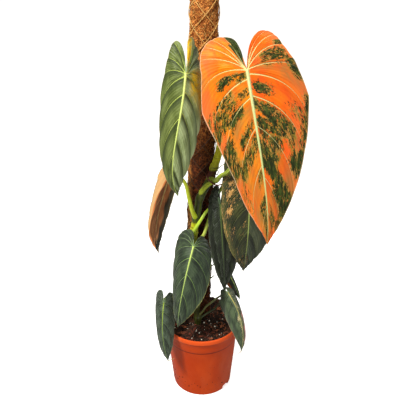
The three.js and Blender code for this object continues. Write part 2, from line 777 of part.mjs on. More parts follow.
addPiece('pot', makePot(), 'pot', 0.45);
addPiece('soil', makeSoil(poleHole, stemHole), 'soil', 0.95);
addPiece('pole_stake', poleLimb(POLE.stakeRadius, POLE.stakeSides, POLE.footZ, POLE.top - 3), 'stake', 0.8);
addPiece('pole_coir', makeCoir(), 'coir', 0.95);
addPiece('pole_net', makeNet(), 'net', 0.8);
addPiece('stem', makeStem(), 'stem', 0.5);
for (const leaf of LEAVES) {
  addPiece(`${leaf.name}_petiole`, makePetiole(leaf, stemClearance), 'petiole', 0.5);
  addPiece(`${leaf.name}_blade`, makeBlade(leaf), leaf.colour, 0.6);
}

export default plant;
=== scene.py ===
"""Variegated philodendron melanochrysum on a coir pole in an orange nursery pot.

Metres, +Z up, the plant faces -Y. Lengths written in the tables are millimetres.
"""
import math
import random

import bpy
from mathutils import Matrix, Vector, noise


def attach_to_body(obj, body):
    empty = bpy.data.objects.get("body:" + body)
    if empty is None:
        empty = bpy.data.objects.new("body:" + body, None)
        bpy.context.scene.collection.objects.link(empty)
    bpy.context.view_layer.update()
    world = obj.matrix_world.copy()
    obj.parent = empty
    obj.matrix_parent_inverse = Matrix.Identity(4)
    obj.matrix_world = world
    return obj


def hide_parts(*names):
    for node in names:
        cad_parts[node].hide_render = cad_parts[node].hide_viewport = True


MM = 0.001
# A full turn, rounded down, for random spins and for the twist of the net's cords
ROUGH_TURN = 6.28

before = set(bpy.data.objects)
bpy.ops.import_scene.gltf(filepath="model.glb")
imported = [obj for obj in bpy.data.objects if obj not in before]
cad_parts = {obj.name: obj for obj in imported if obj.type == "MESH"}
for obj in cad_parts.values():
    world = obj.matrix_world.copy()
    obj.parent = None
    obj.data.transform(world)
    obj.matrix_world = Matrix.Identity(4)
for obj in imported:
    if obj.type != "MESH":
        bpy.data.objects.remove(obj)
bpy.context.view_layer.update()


# Camera, light and floor

CAMERA_PLACE = (0.0107, -0.894, 0.820)
CAMERA_PITCH = 62.1
FRAME_PIXELS = 416
FOCAL_PIXELS = 640
SENSOR = 36.0


def add_camera():
    bpy.ops.object.camera_add(location=CAMERA_PLACE, rotation=(math.radians(CAMERA_PITCH), 0, 0))
    camera = bpy.context.object
    camera.name = "photo_camera"
    camera.data.sensor_width = SENSOR
    camera.data.lens = SENSOR * FOCAL_PIXELS / FRAME_PIXELS
    camera.data.dof.use_dof = False
    bpy.context.scene.camera = camera


STUDIO_MIDDLE = (0, 0, 0.35)
LIGHTS = [
    dict(name="key_light", place=(-0.85, -0.95, 1.85), size=0.35, power=46, colour=(1.0, 0.985, 0.96)),
    dict(name="fill_light", place=(0.8, -1.6, 0.6), size=1.4, power=7, colour=(1, 1, 1)),
    dict(name="top_light", place=(0.3, 0.6, 1.9), size=0.9, power=9, colour=(1.0, 0.98, 0.95)),
]
SKY_STRENGTH = 0.36


def add_light(name, place, size, power, colour):
    way = Vector(STUDIO_MIDDLE) - Vector(place)
    turn = way.to_track_quat("-Z", "Y").to_euler()
    bpy.ops.object.light_add(type="AREA", location=place, rotation=turn)
    lamp = bpy.context.object
    lamp.name = name
    lamp.data.shape = "DISK"
    lamp.data.size = size
    lamp.data.energy = power
    lamp.data.color = colour


def add_studio():
    for light in LIGHTS:
        add_light(**light)
    world = bpy.data.worlds.new("studio")
    world.use_nodes = True
    back = world.node_tree.nodes["Background"]
    back.inputs["Color"].default_value = (1, 1, 1, 1)
    back.inputs["Strength"].default_value = SKY_STRENGTH
    bpy.context.scene.world = world
    bpy.context.scene.view_settings.view_transform = "Standard"


# Small helpers for meshes

def pick_none():
    if bpy.context.object and bpy.context.object.mode != "OBJECT":
        bpy.ops.object.mode_set(mode="OBJECT")
    bpy.ops.object.select_all(action="DESELECT")


def pick(*pieces):
    pick_none()
    for piece in pieces:
        piece.select_set(True)
    bpy.context.view_layer.objects.active = pieces[0]


def close_seams(piece, gap=2e-6):
    """Merges the points that lie on each other, such as a tube's seam and its ends."""
    pick(piece)
    bpy.ops.object.mode_set(mode="EDIT")
    bpy.ops.mesh.select_all(action="SELECT")
    bpy.ops.mesh.remove_doubles(threshold=gap)
    bpy.ops.mesh.dissolve_degenerate(threshold=gap)
    bpy.ops.object.mode_set(mode="OBJECT")


def turn_outwards(piece):
    pick(piece)
    bpy.ops.object.mode_set(mode="EDIT")
    bpy.ops.mesh.select_all(action="SELECT")
    bpy.ops.mesh.normals_make_consistent(inside=False)
    bpy.ops.object.mode_set(mode="OBJECT")


def smooth(piece, angle=60):
    pick(piece)
    bpy.ops.object.shade_smooth_by_angle(angle=math.radians(angle))


def join(pieces, name):
    pick(*pieces)
    if len(pieces) > 1:
        bpy.ops.object.join()
    piece = bpy.context.object
    piece.name = name
    piece.data.name = name
    return piece


def coat(piece, material):
    """Gives the piece one finish in place of what it has."""
    piece.data.materials.clear()
    piece.data.materials.append(material)


def copy_of(piece):
    twin = piece.copy()
    twin.data = piece.data.copy()
    bpy.context.collection.objects.link(twin)
    return twin


def apply_all(piece):
    pick(piece)
    for modifier in list(piece.modifiers):
        bpy.ops.object.modifier_apply(modifier=modifier.name)


def grid_sheet(name, across, along, place):
    """A plane grid whose point at shares (s, t) is moved to place(s, t), in millimetres."""
    pick_none()
    bpy.ops.mesh.primitive_grid_add(x_subdivisions=across, y_subdivisions=along, size=2,
                                    calc_uvs=True, location=(0, 0, 0))
    piece = bpy.context.object
    piece.name = name
    piece.data.name = name
    shares = []
    for point in piece.data.vertices:
        s = round((point.co.x + 1) / 2 * across) / across
        t = round((point.co.y + 1) / 2 * along) / along
        shares.append((s, t))
        point.co = place(s, t) * MM
    return piece, shares


CURVE_FINENESS = 16


def curve_points(stations, count):
    """Evenly numbered points on a smooth curve through the stations."""
    spots = [Vector(p) for p in stations]
    ends = [spots[0] * 2 - spots[1]] + spots + [spots[-1] * 2 - spots[-2]]
    knots = [0.0]
    for a, b in zip(ends, ends[1:]):
        knots.append(knots[-1] + max((b - a).length, 1e-6) ** 0.5)
    rough = []
    for i in range(1, len(ends) - 2):
        p = ends[i - 1:i + 3]
        k = knots[i - 1:i + 3]
        for step in range(CURVE_FINENESS):
            t = k[1] + (k[2] - k[1]) * step / CURVE_FINENESS
            a1 = p[0].lerp(p[1], (t - k[0]) / (k[1] - k[0]))
            a2 = p[1].lerp(p[2], (t - k[1]) / (k[2] - k[1]))
            a3 = p[2].lerp(p[3], (t - k[2]) / (k[3] - k[2]))
            b1 = a1.lerp(a2, (t - k[0]) / (k[2] - k[0]))
            b2 = a2.lerp(a3, (t - k[1]) / (k[3] - k[1]))
            rough.append(b1.lerp(b2, (t - k[1]) / (k[2] - k[1])))
    rough.append(spots[-1])
    lengths = [0.0]
    for a, b in zip(rough, rough[1:]):
        lengths.append(lengths[-1] + (b - a).length)
    out = []
    j = 0
    for i in range(count + 1):
        want = lengths[-1] * i / count
        while j < len(lengths) - 2 and lengths[j + 1] < want:
            j += 1
        share = (want - lengths[j]) / max(lengths[j + 1] - lengths[j], 1e-9)
        out.append(rough[j].lerp(rough[j + 1], min(max(share, 0), 1)))
    return out


def carried_frames(points, first=None):
    """A side and an up direction at each point of a path, carried along it without twist."""
    count = len(points)
    ways = []
    for i in range(count):
        a = points[max(i - 1, 0)]
        b = points[min(i + 1, count - 1)]
        ways.append((b - a).normalized())
    side = Vector(first) if first else Vector((1, 0, 0))
    if abs(side.dot(ways[0])) > 0.95:
        side = Vector((0, 1, 0))
    out = []
    for way in ways:
        side = (side - way * side.dot(way)).normalized()
        out.append((side, way.cross(side)))
    return out


def tube(name, points, radius_at, sides, first=None, squash=1.0):
    """A closed round limb along the points. radius_at(t, angle) is in millimetres."""
    frames = carried_frames(points, first)
    last = len(points) - 1
    steps = last + 2

    def place(s, t):
        step = round(t * steps)
        i = min(max(step - 1, 0), last)
        side, up = frames[i]
        angle = math.tau * s
        radius = 0 if step in (0, steps) else radius_at(i / last, angle)
        return points[i] + side * (radius * math.cos(angle)) + up * (radius * squash * math.sin(angle))

    piece, _ = grid_sheet(name, sides, steps, place)
    close_seams(piece)
    turn_outwards(piece)
    return piece


def limb(name, points, radius_at, sides, finish, **shape):
    """A tube with its finish, shaded smooth."""
    piece = tube(name, points, radius_at, sides, **shape)
    coat(piece, finish)
    smooth(piece)
    return piece


def lathe(name, profile, sides):
    """A turned body from a list of (radius, height); the profile starts and ends on the axis."""
    count = len(profile) - 1

    def place(s, t):
        radius, height = profile[round(t * count)]
        angle = math.tau * s
        return Vector((radius * math.cos(angle), radius * math.sin(angle), height))

    piece, _ = grid_sheet(name, sides, count, place)
    close_seams(piece)
    turn_outwards(piece)
    return piece


# Colour helpers

def linear(code):
    """A colour written as a hexadecimal code, as linear red, green, blue and alpha."""
    values = [int(code[i:i + 2], 16) / 255 for i in (0, 2, 4)]
    return tuple(v / 12.92 if v <= 0.04045 else ((v + 0.055) / 1.055) ** 2.4 for v in values) + (1,)


class Nodes:
    """A short way to write a node tree."""

    def __init__(self, tree):
        self.tree = tree

    def new(self, kind, **values):
        node = self.tree.nodes.new(kind)
        for key, value in values.items():
            setattr(node, key, value)
        return node

    def link(self, source, target):
        self.tree.links.new(source, target)

    def put(self, value, socket):
        """Joins a socket, or sets a number, a vector or a colour code."""
        if isinstance(value, bpy.types.NodeSocket):
            self.link(value, socket)
        elif isinstance(value, str):
            socket.default_value = linear(value)
        else:
            socket.default_value = value

    def math(self, operation, a, b=0.0, c=0.0, clamp=False):
        node = self.new("ShaderNodeMath", operation=operation, use_clamp=clamp)
        for value, socket in zip((a, b, c), node.inputs):
            self.put(value, socket)
        return node.outputs[0]

    def times(self, a, b):
        return self.math("MULTIPLY", a, b)

    def mix(self, share, a, b):
        node = self.new("ShaderNodeMix", data_type="RGBA")
        self.put(share, node.inputs["Factor"])
        self.put(a, node.inputs[6])
        self.put(b, node.inputs[7])
        return node.outputs[2]

    def ramp(self, value, low, high, start=0.0, end=1.0):
        node = self.new("ShaderNodeMapRange", interpolation_type="SMOOTHSTEP")
        for item, socket in zip((value, low, high, start, end), node.inputs):
            self.put(item, socket)
        return node.outputs[0]

    def band(self, value, rise, fall):
        """One between the rise and the fall, each given as a start and an end."""
        return self.times(self.ramp(value, *rise), self.ramp(value, *fall, 1.0, 0.0))

    def vector(self, x=0.0, y=0.0, z=0.0):
        node = self.new("ShaderNodeCombineXYZ")
        for value, socket in zip((x, y, z), node.inputs):
            self.put(value, socket)
        return node.outputs[0]

    def stretched(self, parts, *scales):
        """The parts of a place, each with its own scale."""
        return self.vector(*(self.times(part, scale) for part, scale in zip(parts, scales)))

    def split(self, vector):
        node = self.new("ShaderNodeSeparateXYZ")
        self.link(vector, node.inputs[0])
        return node.outputs

    def noise(self, vector, scale, detail=2.0, rough=0.5, distort=0.0):
        node = self.new("ShaderNodeTexNoise")
        self.put(vector, node.inputs["Vector"])
        self.put(scale, node.inputs["Scale"])
        node.inputs["Detail"].default_value = detail
        node.inputs["Roughness"].default_value = rough
        node.inputs["Distortion"].default_value = distort
        return node.outputs[0]

    def uv(self, name):
        return self.new("ShaderNodeUVMap", uv_map=name).outputs[0]

    def place(self):
        return self.new("ShaderNodeTexCoord").outputs["Object"]

    def bump(self, height, strength, distance):
        node = self.new("ShaderNodeBump")
        node.inputs["Strength"].default_value = strength
        node.inputs["Distance"].default_value = distance
        self.put(height, node.inputs["Height"])
        return node.outputs[0]

    def group(self, group, **values):
        node = self.new("ShaderNodeGroup", node_tree=group)
        for key, value in values.items():
            self.put(value, node.inputs[key])
        return node.outputs


def new_group(name, inputs, outputs):
    group = bpy.data.node_groups.new(name, "ShaderNodeTree")
    for title, kind, value in inputs:
        socket = group.interface.new_socket(title, in_out="INPUT", socket_type="NodeSocket" + kind)
        if value is not None:
            socket.default_value = value
    for title, kind in outputs:
        group.interface.new_socket(title, in_out="OUTPUT", socket_type="NodeSocket" + kind)
    nodes = Nodes(group)
    return group, nodes, nodes.new("NodeGroupInput").outputs, nodes.new("NodeGroupOutput").inputs


SHEEN_ROUGHNESS = 0.4


def new_material(name, roughness, specular, sheen=0.0, sheen_tint=(1, 1, 1, 1)):
    material = bpy.data.materials.new(name)
    material.use_nodes = True
    shader = material.node_tree.nodes["Principled BSDF"]
    shader.inputs["Roughness"].default_value = roughness
    shader.inputs["Sheen Weight"].default_value = sheen
    shader.inputs["Sheen Roughness"].default_value = SHEEN_ROUGHNESS
    shader.inputs["Sheen Tint"].default_value = sheen_tint
    shader.inputs["Specular IOR Level"].default_value = specular
    return material, Nodes(material.node_tree), shader.inputs


def plug(n, shader, colour, roughness, relief=None):
    """Joins colour and roughness to the shader, and a relief of (height, strength, depth)."""
    n.link(colour, shader["Base Color"])
    n.link(roughness, shader["Roughness"])
    if relief:
        n.link(n.bump(*relief), shader["Normal"])


# Effects that several finishes share

def make_vein_group():
    """Masks for the side veins, the fine veins between them and the lit ribs of a blade."""
    group, n, given, out = new_group(
        "leaf_veins",
        [("Growth", "Vector", None), ("Measure", "Vector", None), ("Vein width", "Float", 0.7),
         ("Fine veins", "Float", 5.0)],
        [("Vein", "Float"), ("Fine", "Float"), ("Ridge", "Float")])
    growth = n.split(given["Growth"])
    measure = n.split(given["Measure"])
    phase = growth[0]
    out_share = growth[1]
    spacing = measure[0]
    away = n.math("PINGPONG", phase, 0.5)
    distance = n.times(away, spacing)
    taper = n.ramp(out_share, 0.15, 1.0, 1.0, 0.35)
    width = n.times(given["Vein width"], taper)
    inner = n.times(width, 0.45)
    vein = n.ramp(distance, inner, n.times(width, 1.25), 1.0, 0.0)
    faded = n.times(vein, n.ramp(out_share, 0.82, 1.0, 1.0, 0.25))
    n.link(faded, out["Vein"])
    fine = n.math("PINGPONG", n.times(phase, given["Fine veins"]), 0.5)
    n.link(n.ramp(fine, 0.0, 0.22, 1.0, 0.0), out["Fine"])
    wave = n.math("COSINE", n.times(n.times(phase, given["Fine veins"]), math.tau))
    swell = n.math("MULTIPLY_ADD", wave, -0.5, 0.5)
    uneven = n.noise(n.stretched((phase, out_share), 3.0, 3.0), 1.0, 2.0)
    strength = n.times(n.ramp(uneven, 0.3, 0.65, 0.25, 1.0), n.ramp(out_share, 0.02, 0.2, 0.0, 1.0))
    n.link(n.times(swell, strength), out["Ridge"])
    return group


def make_speckle_group():
    """Blotches drawn out along the veins: more of them where the density is higher."""
    group, n, given, out = new_group(
        "leaf_speckle",
        [("Growth", "Vector", None), ("Density", "Float", 0.5),
         ("Across", "Float", 6.5), ("Along", "Float", 9.5), ("Seed", "Float", 0.0),
         ("Edge", "Float", 0.07), ("Fine part", "Float", 0.68)],
        [("Mask", "Float")])
    growth = n.split(given["Growth"])
    at = n.vector(n.times(growth[0], given["Across"]), n.times(growth[1], given["Along"]),
                  given["Seed"])
    coarse = n.noise(at, 0.45, 4.0, 0.65, 0.5)
    fine = n.noise(at, 2.1, 6.0, 0.78, 0.3)
    both = n.math("ADD", n.times(fine, given["Fine part"]),
                  n.times(coarse, n.math("SUBTRACT", 1.0, given["Fine part"])))
    both = n.math("MULTIPLY_ADD", both, 3.3, -1.15)
    level = n.math("MULTIPLY_ADD", given["Density"], -0.95, 1.0)
    high = n.math("ADD", level, given["Edge"])
    n.link(n.ramp(both, level, high, 0.0, 1.0), out["Mask"])
    return group


# Fineness, place and waviness of each layer of fibres
FIBRE_LAYERS = [(85.0, 0.0, 1.2), (130.0, 4.1, 0.8), (200.0, 8.3, 1.6)]


def make_fibre_group():
    """Short wavy fibres in layers over each other, for coir, and painted shade in the pits between them."""
    group, n, given, out = new_group(
        "matted_fibre",
        [("Place", "Vector", None)],
        [("Height", "Float"), ("Dark", "Float")])
    heights = []
    for scale, seed, wind in FIBRE_LAYERS:
        moved = n.new("ShaderNodeMapping")
        moved.inputs["Location"].default_value = (seed, seed, seed)
        n.link(given["Place"], moved.inputs["Vector"])
        wander = n.noise(moved.outputs[0], scale, 1.5, 0.5, wind)
        line = n.math("ABSOLUTE", n.math("SUBTRACT", wander, 0.5))
        heights.append(n.ramp(line, 0.0, 0.05, 1.0, 0.0))
    top = n.math("MAXIMUM", n.math("MAXIMUM", heights[0], heights[1]), heights[2])
    n.link(top, out["Height"])
    # Painted shade: the pits between the fibres come out dark.
    pit_shade = n.noise(given["Place"], 130.0, 3.0, 0.6, 0.5)
    n.link(n.ramp(pit_shade, 0.52, 0.66, 0.0, 1.0), out["Dark"])
    return group


VEINS = make_vein_group()
SPECKLE = make_speckle_group()
FIBRE = make_fibre_group()


# Leaves: the same outline, bends and places as the solids. Width, fold, curl, lobe, full,
# veins, pleat and tuck have a value for each half: first the one at the left of the upper
# face, tip down, then the right.

HALF_OUTLINE = [
    (0, 0), (-0.05, 0.05), (-0.14, 0.11), (-0.215, 0.25), (-0.245, 0.47), (-0.215, 0.71),
    (-0.125, 0.89), (0.01, 0.98), (0.18, 1), (0.36, 0.93), (0.54, 0.775), (0.71, 0.555),
    (0.85, 0.3), (0.93, 0.125), (0.97, 0.045), (1, 0),
]
VEIN_ROOTS = [0, 0, 0, 0, 0, 0, 0, 0, 0.01, 0.12, 0.24, 0.4, 0.62, 0.8, 0.91, 1]
FULL_STATIONS = [-0.2, 0, 0.2, 0.4, 0.6, 0.8]
LOBE_REACH = 0.25
EVEN = [1] * 6
BEND_STEPS = 60
BACK_STEPS = 21
VEIN_BOW = 0.18
BLADE_THICKNESS = 0.7
COMMON_VEINS = [0.26, 0.33, 0.39, 0.46, 0.54, 0.61, 0.69, 0.77, 0.85, 0.92]


def read_at(stations, values, place):
    if place <= stations[0]:
        return values[0]
    for i in range(1, len(stations)):
        if place <= stations[i]:
            share = (place - stations[i - 1]) / (stations[i] - stations[i - 1])
            return values[i - 1] + (values[i] - values[i - 1]) * share
    return values[-1]


def outline_point(v):
    """The half outline as one smooth curve, read at a share of its length in points."""
    spots = HALF_OUTLINE
    last = len(spots) - 1
    at = min(max(v, 0), 1) * last
    i = min(int(at), last - 1)
    t = at - i
    p = [spots[max(i - 1, 0)], spots[i], spots[i + 1], spots[min(i + 2, last)]]
    out = []
    for k in (0, 1):
        a, b, c, d = (q[k] for q in p)
        v0, v1 = (c - a) / 2, (d - b) / 2
        cube = 2 * b - 2 * c + v0 + v1
        square = -3 * b + 3 * c - 2 * v0 - v1
        out.append(cube * t ** 3 + square * t * t + v0 * t + b)
    return out


class Midrib:
    """The midrib of a leaf, with its directions: along, out of the face and across."""

    def __init__(self, leaf):
        self.leaf = leaf
        plain = [Vector((1, 0, 0)), Vector((0, 0, 1)), Vector((0, 1, 0))]
        chord = Vector((0, 0, 0))
        for i in range(BEND_STEPS):
            chord += self.directions((i + 0.5) / BEND_STEPS, *plain)[0]
        chord /= BEND_STEPS
        chord_way = chord.normalized()
        chord_face = self.square(plain[1], chord_way)
        start = self.basis(chord_way, chord_face)
        attach = Vector(leaf["attach"])
        reach = Vector(leaf["tip"]) - attach
        way = reach.normalized()
        front = self.square(Vector((0, -1, 0.35)), way)
        roll = math.radians(leaf["roll"])
        face = front * math.cos(roll) + front.cross(way) * math.sin(roll)
        turn = self.basis(way, face) @ start.transposed()
        axes = [turn @ axis for axis in plain]
        self.length = reach.length / chord.length
        self.places = self.walk(axes, attach, -1, BACK_STEPS)[::-1]
        self.places.append((attach.copy(),) + self.directions(0, *axes))
        self.places += self.walk(axes, attach, 1, BEND_STEPS)

    @staticmethod
    def square(direction, to):
        return (direction - to * direction.dot(to)).normalized()

    @staticmethod
    def basis(way, face):
        return Matrix((way, face, face.cross(way))).transposed()

    def directions(self, a, along, face, across):
        leaf = self.leaf
        bend = leaf["arch"] * a if a >= 0 else leaf["lobe_roll"] * a / LOBE_REACH
        sway = leaf["side"] * a + leaf["hook"] * a ** 3 if a >= 0 else 0
        bend, sway, turn = (math.radians(x) for x in (bend, sway, leaf["twist"] * a))
        t = (along * math.cos(bend) * math.cos(sway) + across * math.cos(bend) * math.sin(sway)
             - face * math.sin(bend))
        s = across * math.cos(sway) - along * math.sin(sway)
        n = t.cross(s) * math.cos(turn) + s * math.sin(turn)
        return t, n, n.cross(t)

    def walk(self, axes, attach, sign, count):
        point = attach.copy()
        run = []
        for i in range(count):
            step = self.directions(sign * (i + 0.5) / BEND_STEPS, *axes)[0]
            point = point + step * (sign * self.length / BEND_STEPS)
            run.append((point,) + self.directions(sign * (i + 1) / BEND_STEPS, *axes))
        return run

    def at(self, a):
        scaled = min(max(a * BEND_STEPS + BACK_STEPS, 0), len(self.places) - 1.001)
        low = int(scaled)
        share = scaled - low
        return [p.lerp(q, share) for p, q in zip(self.places[low], self.places[low + 1])]

    def bend(self, half, a, x):
        """A place on the bent half blade, and the way out of its face there."""
        side = 0 if half < 0 else 1
        point, _, face, across = self.at(a)
        wide = self.leaf["width"][side] * self.length
        fold, curl = (math.radians(self.leaf[key][side]) for key in ("fold", "curl"))
        slope = fold + curl * x
        out = wide / curl * (math.sin(slope) - math.sin(fold))
        lift = -wide / curl * (math.cos(slope) - math.cos(fold))
        normal = face * math.cos(slope) - across * (half * math.sin(slope))
        return point + across * (half * out) + face * lift, normal


def soft_box(value, low, high, soft):
    rise = min(max((value - low) / soft + 0.5, 0), 1)
    fall = min(max((high - value) / soft + 0.5, 0), 1)
    return (rise * rise * (3 - 2 * rise)) * (fall * fall * (3 - 2 * fall))


LEAVES = [
    dict(name="leaf_1", slot="leaf_orange", rows=176, cols=30,
         attach=(60, -97, 596), tip=(96, -106, 343), roll=-25, arch=9, side=-1, hook=-15, twist=-2,
         width=(0.27, 0.27), fold=(-5, -25), curl=(13, -16), lobe=(0.77, 1.01), lobe_roll=67,
         full=([1.06, 0.94, 1.05, 0.93, 0.9, 1.05], [0.79, 0.93, 1.1, 1.06, 1.01, 0.92]),
         veins=([0.27, 0.32, 0.365, 0.415, 0.48, 0.555, 0.61, 0.69, 0.765, 0.85, 0.92],
                [0.19, 0.25, 0.31, 0.375, 0.468, 0.54, 0.605, 0.685, 0.785, 0.86, 0.93])),
    dict(name="leaf_2", slot="leaf_sage", rows=176, cols=24,
         attach=(-18, -78, 585), tip=(-32, -72, 404), roll=24, arch=31, side=-13, hook=58, twist=-34,
         width=(0.21, 0.24), fold=(-32, -19), curl=(-40, -43), lobe=(0.98, 1.21), lobe_roll=27,
         full=([0.7, 0.84, 0.98, 1.02, 1, 1.01], [0.95, 0.94, 0.98, 1.04, 1.07, 1.07]),
         pleat=(1.1, 2.2), tuck=(0, 0.85),
         veins=([0.30, 0.40, 0.457, 0.537, 0.61, 0.695, 0.79, 0.86, 0.93],
                [0.33, 0.40, 0.47, 0.535, 0.60, 0.675, 0.75, 0.83, 0.91])),
    dict(name="leaf_3", slot="leaf_tan", rows=150, cols=18,
         attach=(-46, 4, 409), tip=(-70, -2, 264), roll=177, arch=19, side=3, hook=-40, twist=11,
         width=(0.24, 0.24), fold=(-42, -43), curl=(-50, -41), lobe=(1, 0.98), lobe_roll=50),
    dict(name="leaf_4", slot="leaf_speckled", rows=176, cols=22,
         attach=(69, -68, 444), tip=(65, -62, 269), roll=-10, arch=41, side=-15, hook=-2, twist=24,
         width=(0.28, 0.29), fold=(-14, -5), curl=(-36, -22), lobe=(1.03, 1), lobe_roll=37,
         full=([0.97, 0.94, 0.97, 1.03, 1.04, 1.06], EVEN), pleat=(1.7, 1.5),
         drip=[(-0.5, 0, -3), (-1.5, 0, -6.5)]),
    dict(name="leaf_5", slot="leaf_dark", rows=150, cols=22,
         attach=(29, -44, 377), tip=(36, -46, 222), roll=-18, arch=35, side=-6, hook=-12, twist=30,
         width=(0.2, 0.27), fold=(-23, -19), curl=(-32, -36), lobe=(0.98, 1.03), lobe_roll=56,
         pleat=(1.2, 1.2), long_folds=2.6),
    dict(name="leaf_6", slot="leaf_green", rows=160, cols=20,
         attach=(-12, -48, 304), tip=(-38, -74, 169), roll=1, arch=53, side=8, hook=8, twist=-36,
         width=(0.28, 0.3), fold=(-20, -24), curl=(-52, -34), lobe=(0.98, 0.86), lobe_roll=48,
         full=([0.96, 0.97, 0.99, 1, 1, 1.02], [0.97, 0.96, 1.01, 1.11, 1.11, 1.05]), pleat=(1.3, 1.3),
         veins=([0.27, 0.34, 0.40, 0.50, 0.60, 0.70, 0.78, 0.86, 0.93],
                [0.27, 0.35, 0.43, 0.515, 0.59, 0.69, 0.77, 0.86, 0.93])),
    dict(name="leaf_7", slot="leaf_green", rows=120, cols=14,
         attach=(-61, -50, 199), tip=(-55, -76, 100), roll=-4, arch=34, side=13, hook=10, twist=-17,
         width=(0.28, 0.29), fold=(-26, -29), curl=(-56, -64), lobe=(1, 0.93), lobe_roll=39,
         full=(EVEN, [1, 1, 1, 1.03, 1.06, 1.06]),
         drip=[(2, -0.5, 1), (5, -0.5, 4), (8.5, 0, 4.5), (10, 0, 7)]),
    dict(name="leaf_8", slot="leaf_green", rows=120, cols=14,
         attach=(44, -26, 202), tip=(65, -76, 121), roll=15, arch=38, side=-22, hook=-26, twist=27,
         width=(0.29, 0.28), fold=(-38, -32), curl=(-42, -48), lobe=(0.95, 1), lobe_roll=80,
         full=([1.01, 1.01, 1.01, 1.02, 1.05, 1.07], EVEN), drip=[(-1.5, 0, -2.5), (-5, 0, -5.5)]),
    dict(name="leaf_9", slot="leaf_green", rows=100, cols=12,
         attach=(43, 12, 220), tip=(65, -5, 173), roll=20, arch=24, side=-2, hook=-10, twist=10,
         width=(0.26, 0.26), fold=(-30, -36), curl=(-40, -45), lobe=(1, 1), lobe_roll=45),
]


# Blades

def vein_count_at(veins, v):
    """How many side veins lie before v, with the share of the way to the next one."""
    stops = [0.0] + list(veins) + [1.0]
    return read_at(stops, list(range(len(stops))), v)


VEIN_SWEEP = 0.042
# The veins of the right half are counted on from here, so that a finish can tell the halves apart
RIGHT_COUNT = 40


def vein_place(veins, v, u):
    """The vein count at a place of the blade: near the margin the veins sweep to the tip."""
    middle = soft_box(v, 0.5, 0.86, 0.2)
    return vein_count_at(veins, v - VEIN_SWEEP * u ** 4 * middle)


def blade_point(leaf, midrib, half, v, u):
    """Where the leaf's flat place (v along the outline, u from rib to margin) lies in space."""
    index = 0 if half < 0 else 1
    stations = [i / (len(VEIN_ROOTS) - 1) for i in range(len(VEIN_ROOTS))]
    root = read_at(stations, VEIN_ROOTS, v)
    edge = outline_point(v)
    full = read_at(FULL_STATIONS, leaf.get("full", (EVEN, EVEN))[index], edge[0])
    end_a = edge[0] * leaf["lobe"][index] if edge[0] < 0 else edge[0]
    end_x = edge[1] * full
    reach = math.hypot(end_a - root, end_x * leaf["width"][index])
    bow = (end_a + root) / 2 - VEIN_BOW * reach
    a = root * (1 - u) ** 2 + bow * 2 * u * (1 - u) + end_a * u * u
    tuck = leaf.get("tuck", (0, 0))[index] * soft_box(v, 0.0, 0.2, 0.1)
    x = end_x * (1 - tuck) * (u * (1 - u) + u * u)
    point, normal = midrib.bend(half, a, x)
    return point, normal, reach


def mark_share(mark, half, v, u, soft_v, soft_u):
    """How much of a patch or a wash shows at a place of the blade."""
    side, from_v, to_v, from_u, to_u, strength = mark[:6]
    if side != half:
        return 0
    slant = mark[6] if len(mark) > 6 else 0
    return (soft_box(v - slant * u, from_v, to_v, soft_v) * soft_box(u, from_u, to_u, soft_u)
            * strength)


PLEAT_SHARE = 0.125
SMALL_PLEAT = 0.12
SMALL_PLEATS = 2
PLEAT_MOST = 2.1
PLEAT_MIDDLE = 0.55
MARGIN_WAVE = 1.0
WAVES_ALONG = 8
LONG_FOLD_COUNT = 2.4
PATCH_SOFTNESS = (0.03, 0.26)
WASH_SOFTNESS = (0.05, 0.2)


